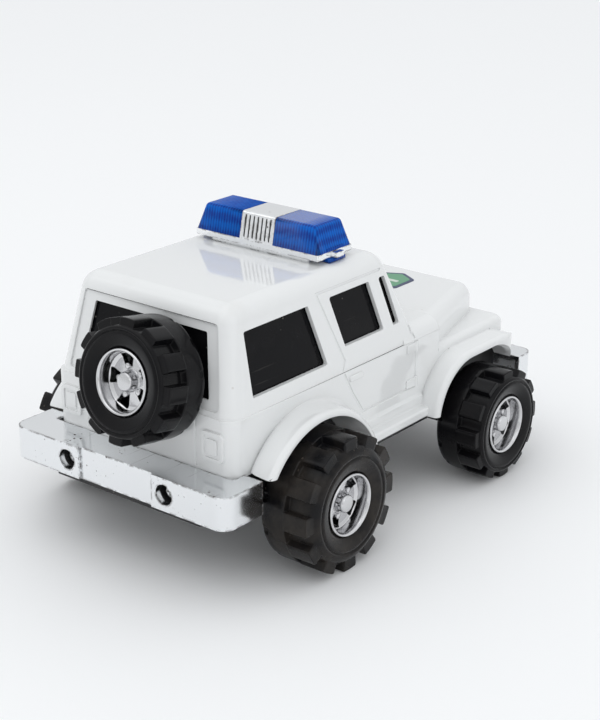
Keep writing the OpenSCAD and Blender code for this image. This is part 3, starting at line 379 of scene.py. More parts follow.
class Graph:
    """Short-hand for building a node tree."""

    def __init__(self, tree: Tree) -> None:
        """Works on one tree."""
        self.tree = tree

    def add(self, kind: str, **settings: object) -> Node:
        """Adds a node.

        Args:
            kind: Blender's name of the node type.
            settings: Attributes, or input sockets given as in_NAME with _ for a space.

        Returns:
            The node.
        """
        node = self.tree.nodes.new(kind)
        for key, value in settings.items():
            if key.startswith("in_"):
                node.inputs[key[3:].replace("_", " ")].default_value = value
            else:
                setattr(node, key, value)
        return node

    def link(self, source: Socket, target: Socket) -> None:
        """Connects two sockets."""
        self.tree.links.new(source, target)

    def feed(self, socket: Socket, value: object) -> None:
        """Sets an input to a number or a colour, or links another socket to it."""
        if isinstance(value, tuple):
            socket.default_value = (*value, 1.0)
        elif isinstance(value, (int, float)):
            socket.default_value = value
        else:
            self.link(value, socket)

    def texture(self, kind: str, scale: Socket, **settings: object) -> Node:
        """Adds a texture that is fixed to the piece.

        Args:
            kind: Blender's name of the texture node.
            scale: Socket that gives its scale.
            settings: As for add.

        Returns:
            The texture node.
        """
        node = self.add(kind, **settings)
        self.link(self.add("ShaderNodeTexCoord").outputs["Object"], node.inputs["Vector"])
        self.link(scale, node.inputs["Scale"])
        return node

    def math(self, kind: str, a: object, b: object = 0.0) -> Socket:
        """Math node over two sockets or numbers.

        Args:
            kind: Operation.
            a: First socket or number.
            b: Second socket or number.

        Returns:
            The node's output.
        """
        node = self.add("ShaderNodeMath", operation=kind)
        self.feed(node.inputs[0], a)
        self.feed(node.inputs[1], b)
        return node.outputs[0]

    def times(self, a: object, b: object) -> Socket:
        """Product of two sockets or numbers."""
        return self.math("MULTIPLY", a, b)

    def mix(self, amount: Socket, a: object, b: object) -> Socket:
        """Mixes two colours.

        Args:
            amount: Share of the second colour.
            a: First colour or socket.
            b: Second colour or socket.

        Returns:
            The mixed colour.
        """
        node = self.add("ShaderNodeMix", data_type="RGBA")
        for index, value in ((0, amount), (6, a), (7, b)):
            self.feed(node.inputs[index], value)
        return node.outputs[2]

    def ramp(self, value: Socket, low: object, high: object, to: Point = (0.0, 1.0)) -> Socket:
        """Maps a range of a value to another one, held at its ends.

        Args:
            value: Input value.
            low: Input that gives the first output, a number or a socket.
            high: Input that gives the second output, a number or a socket.
            to: The two outputs.

        Returns:
            The mapped value.
        """
        node = self.add("ShaderNodeMapRange", clamp=True)
        names = ("Value", "From Min", "From Max", "To Min", "To Max")
        for name, given in zip(names, (value, low, high, *to)):
            self.feed(node.inputs[name], given)
        return node.outputs[0]


class Effects:
    """Shader node groups that several finishes use, each built once."""

    def __init__(self) -> None:
        """Starts with no group."""
        self.made: dict[str, Tree] = {}

    def group(self, name: str, inputs: dict[str, float], build: Callable[[Graph, dict], Socket]) -> Tree:
        """Builds a group with float inputs and one output, Mask.

        Args:
            name: Name of the group.
            inputs: Names and default values of its inputs.
            build: Makes the group's nodes and returns the mask.

        Returns:
            The group.
        """
        if name not in self.made:
            tree = bpy.data.node_groups.new(name, "ShaderNodeTree")
            for key, value in inputs.items():
                socket = tree.interface.new_socket(key, in_out="INPUT", socket_type="NodeSocketFloat")
                socket.default_value = value
            tree.interface.new_socket("Mask", in_out="OUTPUT", socket_type="NodeSocketFloat")
            graph = Graph(tree)
            entry, leave = graph.add("NodeGroupInput"), graph.add("NodeGroupOutput")
            graph.link(build(graph, entry.outputs), leave.inputs["Mask"])
            self.made[name] = tree
        return self.made[name]

    def specks(self) -> Tree:
        """Small round spots in some cells of a random grid."""

        def build(g: Graph, given: dict) -> Socket:
            """Spots where a cell's random value is high."""
            cells = g.texture("ShaderNodeTexVoronoi", given["Scale"], feature="F1")
            split = g.add("ShaderNodeSeparateColor")
            g.link(cells.outputs["Color"], split.inputs["Color"])
            chosen = g.math("LESS_THAN", split.outputs[0], given["Density"])
            size = g.times(split.outputs[1], given["Size"])
            return g.times(chosen, g.math("LESS_THAN", cells.outputs["Distance"], size))

        return self.group("Specks", {"Scale": 400.0, "Density": 0.1, "Size": 0.3}, build)

    def patches(self) -> Tree:
        """Soft uneven patches, for grime and dust."""

        def build(g: Graph, given: dict) -> Socket:
            """Noise above a level."""
            noise = g.texture("ShaderNodeTexNoise", given["Scale"], in_Detail=8.0, in_Roughness=0.62)
            high = g.math("ADD", given["Level"], given["Softness"])
            return g.ramp(noise.outputs["Fac"], given["Level"], high)

        return self.group("Patches", {"Scale": 40.0, "Level": 0.5, "Softness": 0.2}, build)

    def scratches(self) -> Tree:
        """Fine streaks along one direction of the piece."""

        def build(g: Graph, given: dict) -> Socket:
            """Stretched noise above a level."""
            stretch = g.add("ShaderNodeMapping", in_Rotation=(0.3, 0.5, 0.7), in_Scale=(1.0, 30.0, 30.0))
            g.link(g.add("ShaderNodeTexCoord").outputs["Object"], stretch.inputs["Vector"])
            noise = g.add("ShaderNodeTexNoise", in_Detail=3.0)
            g.link(stretch.outputs[0], noise.inputs["Vector"])
            g.link(given["Scale"], noise.inputs["Scale"])
            high = g.math("ADD", given["Level"], 0.04)
            return g.ramp(noise.outputs["Fac"], given["Level"], high)

        return self.group("Scratches", {"Scale": 30.0, "Level": 0.7}, build)

    def edge_wear(self) -> Tree:
        """Broken wear along the edges of a piece."""

        def build(g: Graph, given: dict) -> Socket:
            """Where the normal of a rounded surface leaves the real one, broken up by noise."""
            soft, real = g.add("ShaderNodeBevel", samples=4), g.add("ShaderNodeNewGeometry")
            g.link(given["Radius"], soft.inputs["Radius"])
            dot = g.add("ShaderNodeVectorMath", operation="DOT_PRODUCT")
            g.link(soft.outputs[0], dot.inputs[0])
            g.link(real.outputs["True Normal"], dot.inputs[1])
            noise = g.texture("ShaderNodeTexNoise", given["Scale"], in_Detail=6.0, in_Roughness=0.7)
            edge = g.ramp(dot.outputs["Value"], 0.99, 0.9)
            rough = g.ramp(noise.outputs["Fac"], given["Level"], g.math("ADD", given["Level"], 0.08))
            return g.times(edge, rough)

        return self.group("EdgeWear", {"Radius": 0.0006, "Scale": 90.0, "Level": 0.52}, build)


EFFECTS = Effects()


@dataclass(frozen=True)
class Finish:
    """A surface: its name, the record's slot, its colour and its gloss."""

    name: str
    slot: str
    colour: Colour
    roughness: float = 0.4
    metallic: float = 0.0
    coat: float = 0.0
    coat_roughness: float = 0.03
    specular: float = 0.5

    def material(self) -> bpy.types.Material:
        """The Blender material, made on first use."""
        label = f"{self.name}_finish"
        found = bpy.data.materials.get(label)
        if found is not None:
            return found
        made = bpy.data.materials.new(label)
        made.use_nodes = True
        graph = Graph(made.node_tree)
        shader = made.node_tree.nodes["Principled BSDF"]
        constants = {
            "Base Color": self.colour, "Roughness": self.roughness, "Metallic": self.metallic,
            "Coat Weight": self.coat, "Coat Roughness": self.coat_roughness,
            "Specular IOR Level": self.specular}
        for socket, value in constants.items():
            graph.feed(shader.inputs[socket], value)
        self.dress(graph, shader)
        return made

    def dress(self, graph: Graph, shader: Node) -> None:
        """Adds what varies over the surface; the plain finish has nothing."""

    def dulled(self, graph: Graph, mask: Socket, full: float, more: float) -> Socket:
        """Roughness that grows with a mask.

        Args:
            graph: Graph of the material.
            mask: The mask.
            full: Mask at which the roughness is highest.
            more: How much it grows.

        Returns:
            The roughness.
        """
        return graph.ramp(mask, 0.0, full, (self.roughness, self.roughness + more))

    @staticmethod
    def effect(graph: Graph, tree: Tree, **values: float) -> Socket:
        """Places an effect group.

        Args:
            graph: Graph of the material.
            tree: The group.
            values: Its inputs.

        Returns:
            Its mask.
        """
        node = graph.add("ShaderNodeGroup")
        node.node_tree = tree
        for key, value in values.items():
            node.inputs[key].default_value = value
        return node.outputs["Mask"]


@dataclass(frozen=True)
class WhitePlastic(Finish):
    """Glossy white moulding with faint smudges and grime."""

    grime: Colour = (0.5, 0.46, 0.4)

    def dress(self, graph: Graph, shader: Node) -> None:
        """Smudges dull the gloss, and a little grime tints the colour."""
        smudge = self.effect(graph, EFFECTS.patches(), Scale=45.0, Level=0.56, Softness=0.25)
        specks = self.effect(graph, EFFECTS.specks(), Scale=260.0, Density=0.05, Size=0.16)
        dirt = graph.math("ADD", graph.times(smudge, 0.1), graph.times(specks, 0.3))
        graph.link(graph.mix(dirt, self.colour, self.grime), shader.inputs["Base Color"])
        graph.link(self.dulled(graph, smudge, 1.0, 0.12), shader.inputs["Roughness"])


@dataclass(frozen=True)
class BlackPlastic(Finish):
    """Black moulding with dust, specks and fine scratches."""

    dust: Colour = (0.2, 0.19, 0.17)
    dusty: float = 0.12
    speck_density: float = 0.1

    def dress(self, graph: Graph, shader: Node) -> None:
        """Dust lightens patches, specks and scratches stand out."""
        patches = self.effect(graph, EFFECTS.patches(), Scale=60.0, Level=0.45, Softness=0.35)
        specks = self.effect(graph, EFFECTS.specks(), Scale=520.0, Density=self.speck_density, Size=0.2)
        lines = self.effect(graph, EFFECTS.scratches(), Scale=22.0, Level=0.68)
        marks = graph.math("MAXIMUM", graph.times(specks, 0.5), graph.times(lines, 0.08))
        dust = graph.math("MAXIMUM", graph.times(patches, self.dusty), marks)
        graph.link(graph.mix(dust, self.colour, self.dust), shader.inputs["Base Color"])
        graph.link(self.dulled(graph, dust, 0.5, 0.3), shader.inputs["Roughness"])


@dataclass(frozen=True)
class Metallised(Finish):
    """Thin metal coat on plastic, worn through at edges and chipped."""

    under: Colour = (0.05, 0.036, 0.03)
    wear_level: float = 0.5
    chip_density: float = 0.05
    scratched: float = 0.3
    edge_mark_radius: float = 0.0006

    def dress(self, graph: Graph, shader: Node) -> None:
        """Wear and chips show the dark plastic below the metal; the bumper's wide dark edges are also painted
        reflection.
        """
        # Dark edges: worn plating, and on the bumper partly painted dark reflection along its edges.
        wear = self.effect(
            graph, EFFECTS.edge_wear(), Radius=self.edge_mark_radius, Scale=240.0, Level=self.wear_level)
        pits = self.effect(graph, EFFECTS.specks(), Scale=900.0, Density=self.chip_density, Size=0.5)
        where = self.effect(graph, EFFECTS.patches(), Scale=70.0, Level=0.56, Softness=0.05)
        lines = self.effect(graph, EFFECTS.scratches(), Scale=26.0, Level=0.69)
        haze = self.effect(graph, EFFECTS.patches(), Scale=70.0, Level=0.4, Softness=0.4)
        chips = graph.math("MAXIMUM", graph.times(pits, where), graph.times(lines, self.scratched))
        bare = graph.math("MAXIMUM", wear, chips)
        graph.link(graph.mix(bare, self.colour, self.under), shader.inputs["Base Color"])
        graph.link(graph.math("SUBTRACT", 1.0, bare), shader.inputs["Metallic"])
        gloss = self.dulled(graph, haze, 1.0, 0.1)
        graph.link(graph.math("MAXIMUM", gloss, graph.times(bare, 0.5)), shader.inputs["Roughness"])


@dataclass(frozen=True)
class ClearBlue(Finish):
    """Transparent blue plastic."""

    clear: float = 0.3
    index: float = 1.49
    # Dark blue of the painted flute shade and of the mottling.
    deep: Colour = (0.0, 0.03, 0.32)
    # Painted flute stripes per metre of the piece.
    flutes: float = 800.0

    def dress(self, graph: Graph, shader: Node) -> None:
        """Lets light through; painted light and dark flute stripes and mottling vary its colour."""
        shader.inputs["Transmission Weight"].default_value = self.clear
        shader.inputs["IOR"].default_value = self.index
        split = graph.add("ShaderNodeSeparateXYZ")
        graph.link(graph.add("ShaderNodeTexCoord").outputs["Object"], split.inputs[0])
        waves = [
            graph.math("SINE", graph.times(split.outputs[k], 2 * math.pi * self.flutes)) for k in ("X", "Y")]
        # Painted light and dark upright stripes, standing in for light refracted by the flutes.
        painted_flute_light = graph.ramp(graph.math("ADD", *waves), -1.2, 1.2)
        mottle = self.effect(graph, EFFECTS.patches(), Scale=420.0, Level=0.35, Softness=0.4)
        shade = graph.math("ADD", graph.times(painted_flute_light, 0.7), graph.times(mottle, 0.3))
        graph.link(graph.mix(shade, self.deep, self.colour), shader.inputs["Base Color"])


@dataclass(frozen=True)
class TyreVinyl(Finish):
    """Satin black vinyl with dust that lies on the sidewalls."""

    dust: Colour = (0.16, 0.13, 0.1)
    dusty: float = 0.25

    def dress(self, graph: Graph, shader: Node) -> None:
        """Dust in soft patches and specks, which also dulls the surface."""
        patches = self.effect(graph, EFFECTS.patches(), Scale=75.0, Level=0.4, Softness=0.35)
        specks = self.effect(graph, EFFECTS.specks(), Scale=520.0, Density=0.16, Size=0.25)
        dust = graph.math("ADD", *(graph.times(mask, self.dusty) for mask in (patches, specks)))
        graph.link(graph.mix(dust, self.colour, self.dust), shader.inputs["Base Color"])
        graph.link(self.dulled(graph, dust, 0.5, 0.25), shader.inputs["Roughness"])


WHITE = WhitePlastic("white_plastic", "white_plastic", (0.825, 0.835, 0.835), roughness=0.09, coat=0.4)
WINDOW_BLACK = BlackPlastic(
    "window_black", "black_plastic", (0.004, 0.004, 0.005), roughness=0.12, specular=0.1, dusty=0.03,
    speck_density=0.16)
CHASSIS_BLACK = BlackPlastic(
    "chassis_black", "black_plastic", (0.01, 0.01, 0.011), roughness=0.4, specular=0.3, dusty=0.15)
# The bumper's wide dark edges are partly worn plating and partly painted dark edge reflections.
BUMPER_METAL = Metallised(
    "bumper_metal", "chrome_plating", (0.83, 0.845, 0.86), roughness=0.12, metallic=1.0, wear_level=0.46,
    chip_density=0.28, edge_mark_radius=0.0013)
RIM_METAL = Metallised(
    "rim_metal", "chrome_plating", (0.66, 0.66, 0.67), roughness=0.15, metallic=1.0, wear_level=0.62,
    chip_density=0.0, scratched=0.0)
TRAY_METAL = Metallised(
    "tray_metal", "chrome_plating", (0.88, 0.89, 0.9), roughness=0.16, metallic=1.0, wear_level=0.48,
    chip_density=0.14, scratched=0.1, edge_mark_radius=0.0009)
BLUE = ClearBlue("blue_lens", "blue_lens", (0.0, 0.2, 0.86), roughness=0.04, specular=0.05)
REAR_VINYL = TyreVinyl(
    "rear_tyre_vinyl", "tyre_black", (0.006, 0.006, 0.007), roughness=0.2, specular=0.17, dusty=0.2)
FRONT_VINYL = TyreVinyl(
    "front_tyre_vinyl", "tyre_black", (0.005, 0.005, 0.006), roughness=0.18, specular=0.15, dusty=0.02)
AXLE_STEEL = Finish("axle_steel", "axle_steel", (0.55, 0.56, 0.57), roughness=0.3, metallic=1.0)
SCREW_STEEL = Metallised(
    "screw_steel", "screw_steel", (0.8, 0.8, 0.8), roughness=0.24, metallic=1.0, wear_level=0.62,
    chip_density=0.0, scratched=0.0)
STICKER_GREEN = Finish("sticker_green", "sticker", (0.1, 0.32, 0.17), roughness=0.35)
STICKER_BLUE = Finish("sticker_border", "sticker", (0.02, 0.035, 0.11), roughness=0.35)
STICKER_PALE = Finish("sticker_stripe", "sticker", (0.62, 0.7, 0.62), roughness=0.35)


# Frame


@dataclass
class CarFrame:
    """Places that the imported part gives, in millimetres from the rear axle."""

    cad_box: tuple[Vector, Vector] = field(default_factory=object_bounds)
    rear_axle: Vector = field(init=False)
    front_axle: Vector = field(init=False)
    spare_foot: Vector = field(init=False)
    spare_axis: Vector = field(init=False)
    into: Matrix = field(init=False)

    def __post_init__(self) -> None:
        """Reads the joints."""
        joints = {j["name"]: j for j in frame["joints"]}
        rear = Vector(joints["rear_axle_spin"]["pos_m"])
        self.into = Matrix.Translation((rear.x, 0, 0)) @ Matrix.Scale(MM, 4)
        back = self.into.inverted()
        self.rear_axle = back @ rear
        self.front_axle = back @ Vector(joints["front_axle_spin"]["pos_m"])
        self.spare_foot = back @ Vector(joints["spare_spin"]["pos_m"])
        self.spare_axis = Vector(joints["spare_spin"]["axis"]).normalized()

    def spare_turn(self) -> Matrix:
        """Turn that lays Z along the spare's axis."""
        return self.spare_axis.to_track_quat("Z", "Y").to_matrix().to_4x4()

    def box(self, node: str) -> tuple[Vector, Vector]:
        """Corners of a CAD node."""
        back = self.into.inverted()
        low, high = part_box(node)
        return back @ low, back @ high


CAR = CarFrame()


@dataclass
class Piece:
    """One named piece of the finished car."""

    name: str
    solid: Solid
    body: str
    finish: Finish
    nodes: tuple[str, ...] = ()
    edge: float = 0.3
    edge_steps: int = 2
    place: Matrix | None = None
    clamp: bool = True

    def build(self) -> bpy.types.Object:
        """Makes the object, rounds its edges, dresses it and ties it to the frame.

        Returns:
            The object.
        """
        matrix = CAR.into @ self.place if self.place is not None else CAR.into
        made = bpy.data.objects.new(self.name, self.solid.mesh(self.name, matrix))
        bpy.context.scene.collection.objects.link(made)
        soften(made, self.edge, self.edge_steps, self.clamp)
        made.data.materials.append(self.finish.material())
        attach(made, self.body)
        if self.nodes:
            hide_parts(*self.nodes)
        log.info("%s on %s", self.name, self.body)
        return made


def soften(made: bpy.types.Object, edge: float, steps: int, clamp: bool = True) -> None:
    """Rounds an object's sharp edges and evens out its shading.

    Args:
        made: The object.
        edge: Width of the rounding in millimetres, 0 for none.
        steps: Steps over the rounding.
        clamp: Whether the rounding shrinks where it would overlap.
    """
    if edge > 0:
        bevel = made.modifiers.new("edge", "BEVEL")
        bevel.width, bevel.segments = edge * MM, steps
        bevel.limit_method, bevel.angle_limit = "ANGLE", SOFT_ANGLE
        bevel.miter_outer = "MITER_ARC"
        bevel.use_clamp_overlap = clamp
    made.modifiers.new("weld", "WELD").merge_threshold = WELD
    even = made.modifiers.new("even", "WEIGHTED_NORMAL")
    even.keep_sharp = True


# Wheels


@dataclass
class TyrePoint:
    """A point of a tyre's outline, as radius and depth: on the plain tyre, on a lug and in a slit."""

    plain: Point
    lug: Point | None = None
    slit: Point | None = None

    def at(self, lug: float, slit: float) -> Point:
        """The point where there is this much of a lug and of a slit."""
        r, d = self.plain
        for other, share in ((self.lug, lug), (self.slit, slit)):
            if other is not None:
                r, d = r + (other[0] - self.plain[0]) * share, d + (other[1] - self.plain[1]) * share
        return r, d


@dataclass
class Tyre:
    """A tyre with one row of lugs beside a smooth band.

    It lies in a wheel's own frame, where +Z points out of the car and 0 is the rim's lip.
    """

    radius: float
    width: float
    sidewall_out: float = 0.8
    seat_r: float = 10.95
    lip_r: float = 11.75
    lip_depth: float = 2.3
    bead_d: float = 1.5
    groove_r: float = 17.4
    groove_w: float = 0.9
    groove_d: float = 0.5
    lug_count: int = 12
    lug_h: float = 2.6
    lug_start: float = 1.2
    lug_angle_share: float = 0.58
    edge: float = 0.4
    band_drop: float = 0.2
    band_shares: Point = (0.5, 0.84)
    slit_d: float = 1.3
    slit_angle_share: float = 0.22
    inner_r: float = 3.0
    fill_step: float = 3.2

    def outline(self) -> list[TyrePoint]:
        """The whole outline, from the outer bead over the tread to the inner one."""
        return self.sidewall() + self.tread() + self.inner_side()

    def sidewall(self) -> list[TyrePoint]:
        """Bead, bulged sidewall, ring groove and outer shoulder."""
        lip, ring, w = self.lip_r, self.groove_r, self.groove_w
        points = [
            (self.seat_r, self.lip_depth), (lip, self.lip_depth), (lip, self.bead_d + 0.3),
            (lip + 0.3, self.bead_d)]
        for share in (0.85, 0.65, 0.45, 0.25, 0.1):
            points.append((ring - w + (lip - ring + w) * share, self.bead_d * share ** 1.3))
        points += [
            (ring - w / 2, 0.0), (ring - w / 5, self.groove_d), (ring + w / 5, self.groove_d),
            (ring + w / 2, 0.0)]
        points += [self.shoulder(self.lug_angle() * i / 5) for i in range(1, 6)]
        return [TyrePoint(p) for p in points]

    def turn(self) -> float:
        """Radius of the outer shoulder."""
        return self.radius - self.lug_h - self.groove_r - self.groove_w / 2

    def shoulder(self, angle: float) -> Point:
        """Point of the outer shoulder, 0 at the sidewall and a quarter turn at the tread."""
        turn = self.turn()
        return self.radius - self.lug_h - turn * (1 - math.sin(angle)), turn * (1 - math.cos(angle))

    def lug_angle(self) -> float:
        """Angle on the shoulder at which the lugs start."""
        return math.acos(max(0.0, 1 - self.lug_start / self.turn()))

    def tread(self) -> list[TyrePoint]:
        """Lugs with a square end, the gaps between them and the smooth band."""
        low, top, band = self.radius - self.lug_h, self.radius, self.radius - self.band_drop
        a, e = self.lug_start, self.edge
        b, c = (self.width * share for share in self.band_shares)
        first = self.lug_angle()
        made = []
        for i, (drop, back) in enumerate(((e, 0.02), (e / 4, e / 4), (0.0, e), (0.0, 2 * e))):
            plain = self.shoulder(first + (math.pi / 2 - first) * (i + 1) / 4)
            made.append(TyrePoint(plain, (top - drop, max(a + back, plain[1] if i == 3 else 0.0))))
        a = max(a + 2 * e, self.turn())
        middle = (a + b) / 2
        made += [TyrePoint((low, middle), (top, middle)), TyrePoint((low, b - 2 * e), (top, b - 2 * e))]
        made += [
            TyrePoint((low + e / 4, b - e / 2), (top, b - e / 2)), TyrePoint((band - e, b), (top - e / 8, b))]
        made += [
            TyrePoint((band - e / 4, b + e / 3), (band + e / 8, b + e / 3)), TyrePoint((band, b + 1.3 * e))]
        return made + [TyrePoint((band, (b + c) / 2)), TyrePoint((band, c - e / 2))]

    def inner_side(self) -> list[TyrePoint]:
        """Slits, the rounded inner shoulder, the inner sidewall and the inner bead."""
        band, floor = self.radius - self.band_drop, self.radius - self.slit_d
        w, turn, e = self.width, self.inner_r, self.edge
        start = w * self.band_shares[1]
        made = [
            TyrePoint((band, start), None, (band - e / 3, start)),
            TyrePoint((band, start + e / 2), None, (floor + e / 2, start + e / 3))]
        for i in range(7):
            a = math.radians(15 * i)
            point = (band - turn * (1 - math.cos(a)), w - turn * (1 - math.sin(a)))
            made.append(TyrePoint(point, None, (min(point[0], floor), point[1])))
        lip = self.lip_r
        ends = [
            (band - turn - 1, w), (lip + 1.5, w), (lip + 0.3, w), (lip, w - 0.3), (lip, w - self.lip_depth),
            (self.seat_r, w - self.lip_depth)]
        return made + [TyrePoint(p) for p in ends]

    def columns(self) -> list[Triple]:
        """Angles of the mesh's columns.

        Returns:
            Angle in degrees with the share of a lug and of a slit there.
        """
        pitch = 360 / self.lug_count
        edge = math.degrees(self.edge / self.radius)
        lug_half, slit_half = pitch * self.lug_angle_share / 2, pitch * self.slit_angle_share / 2

        def share(angle: float, centre: float, half: float) -> float:
            """How much of a raised or cut form there is at an angle."""
            off = abs((angle - centre + pitch / 2) % pitch - pitch / 2)
            if off >= half + edge / 3:
                return 0.0
            if off >= half - edge / 3:
                return (half + edge / 3 - off) / (2 * edge / 3) * 0.88
            return 0.88 + 0.12 * min(1.0, (half - edge / 3 - off) / edge)

        marks = set()
        for i in range(self.lug_count):
            for centre, half in ((i * pitch, lug_half), ((i + 0.5) * pitch, slit_half)):
                for end in (-half, half):
                    for off in (-4 * edge / 3, -edge / 3, edge / 3, 4 * edge / 3):
                        marks.add(round((centre + end + off) % 360, 4))
        angles = sorted(marks)
        filled: list[float] = []
        for a, b in zip(angles, angles[1:] + [angles[0] + 360]):
            steps = max(1, round((b - a) / self.fill_step))
            filled += [a + (b - a) * i / steps for i in range(steps)]
        return [(a, share(a, 0.0, lug_half), share(a, 0.5 * pitch, slit_half)) for a in filled]

    def solid(self) -> Solid:
        """The tyre as one closed skin."""
        outline = self.outline()
        rings = []
        for angle, lug, slit in self.columns():
            turn = Matrix.Rotation(math.radians(angle), 4, "Z")
            places = [point.at(lug, slit) for point in outline]
            rings.append([turn @ Vector((r, 0, self.sidewall_out - d)) for r, d in places])
        return Solid.skin(rings, closed=True)


@dataclass
class Rim:
    """A dished rim with flat flared spokes, in a wheel's own frame."""

    bore_r: float
    lip_r: float = 11.5
    barrel_r: float = 10.9
    inner_r: float = 10.0
    width: float = 16.0
    lip_t: float = 1.2
    dish: float = 5.6
    spoke_t: float = 1.8
    spokes: int = 5
    hub_r: float = 4.4
    cap_r: float = 3.4
    cap_back: float = 1.3
    nut_r: float = 1.15
    nut_h: float = 1.4
    nut_at: float = 5.1
    window_in: float = 4.7
    window_out: float = 9.5
    window_in_half: float = 1.55
    window_out_half: float = 2.95
    window_round: float = 0.5

    def solid(self) -> Solid:
        """Barrel, spokes, hub, cap and nuts as one solid."""
        r, lip = self.lip_r, self.lip_t
        barrel = Solid.lathe([
            (self.inner_r, -self.width), (self.barrel_r, -self.width), (self.barrel_r, -lip), (r, -lip),
            (r, -lip / 2), (r - lip / 10, -lip / 5), (r - lip / 3, 0), (r - lip * 0.7, -lip / 12),
            (r - lip, -lip / 2), (self.inner_r, -lip * 1.4)])
        back = -self.dish - self.spoke_t
        face = Solid.lathe([
            (0, back), (self.inner_r + 0.4, back), (self.inner_r + 0.4, -self.dish + 1),
            (self.inner_r - 0.3, -self.dish + 0.5), (self.inner_r - 1.2, -self.dish),
            (self.hub_r, -self.dish + 0.3), (0, -self.dish + 0.3)])
        pane = rounded([
            (self.window_in, -self.window_in_half), (self.window_out, -self.window_out_half),
            (self.window_out, self.window_out_half),
            (self.window_in, self.window_in_half)], self.window_round, 4)
        turns = [Matrix.Rotation(2 * math.pi * (i + 0.5) / self.spokes, 4, "Z") for i in range(self.spokes)]
        window = Solid.prism(pane, Along.Z, back - 1, 0)
        face = face.cut(*[window.moved(t) for t in turns])
        hub = Solid.lathe([
            (self.bore_r, -self.width), (self.hub_r, -self.width), (self.hub_r, -self.dish - 0.2),
            (self.bore_r, -self.dish - 0.2)])
        c, top = self.cap_r, -self.cap_back
        cap = Solid.lathe([
            (0, top), (c * 0.62, top - 0.05), (c * 0.84, top - 0.25), (c * 0.95, top - 0.7), (c, top - 1.4),
            (c * 1.06, -self.dish + 0.6), (c * 1.25, -self.dish), (c * 1.25, -self.dish - 1),
            (0, -self.dish - 1)], 64)
        n, up = self.nut_r, -self.dish + self.nut_h
        nut = Solid.lathe([
            (0, up), (n * 0.55, up - 0.04), (n * 0.85, up - 0.2), (n, up - 0.5), (n, back + 0.2),
            (0, back + 0.2)], 24)
        nuts = [nut.moved(t @ Matrix.Translation((self.nut_at, 0, 0))) for t in turns]
        return barrel.united(face, hub, cap, *nuts)


@dataclass
class Wheels:
    """Four road wheels and the spare."""

    lip_from_track: float = 0.8
    spare_seat: float = 20.4
    bore_r: float = 2.05
    spigot_r: float = 2.65
    rim_edge: float = 0.22

    def place(self, x: float, z: float, side: Side, half_track: float) -> Matrix:
        """Frame of a road wheel: +Z points out of the car and 0 is the rim's lip."""
        y = side.value * (half_track - self.lip_from_track)
        return Matrix.Translation((x, y, z)) @ Matrix.Rotation(-side.value * math.pi / 2, 4, "X")

    def build(self) -> None:
        """Builds every tyre and rim."""
        rim = Rim(self.bore_r).solid()
        for end, axle, vinyl in (("rear", CAR.rear_axle, REAR_VINYL), ("front", CAR.front_axle, FRONT_VINYL)):
            low, high = CAR.box(f"{end}_left_tyre")
            tyre = Tyre((high.z - low.z) / 2, high.y - low.y).solid()
            for side in Side:
                spot = self.place(axle.x, axle.z, side, high.y)
                self.wheel(f"{end}_{side.word}", tyre, rim, f"{end}_wheels", vinyl, spot)
        spot = Matrix.Translation(CAR.spare_foot + CAR.spare_axis * self.spare_seat) @ CAR.spare_turn()
        # The spare has the tyre that was made last, the front one.
        self.wheel("spare", tyre, Rim(self.spigot_r).solid(), "spare_wheel", FRONT_VINYL, spot)

    def wheel(self, node: str, tyre: Solid, rim: Solid, body: str, vinyl: Finish, spot: Matrix) -> None:
        """Builds one tyre with its rim.

        Args:
            node: Start of the names of its CAD nodes.
            tyre: The tyre.
            rim: The rim.
            body: Body that it rides on.
            vinyl: Finish of the tyre.
            spot: Its place.
        """
        Piece(f"{node}_tyre_lugged", tyre, body, vinyl, (f"{node}_tyre",), 0, 1, spot).build()
        Piece(f"{node}_rim_spoked", rim, body, RIM_METAL, (f"{node}_rim",), self.rim_edge, 2, spot).build()


# Body


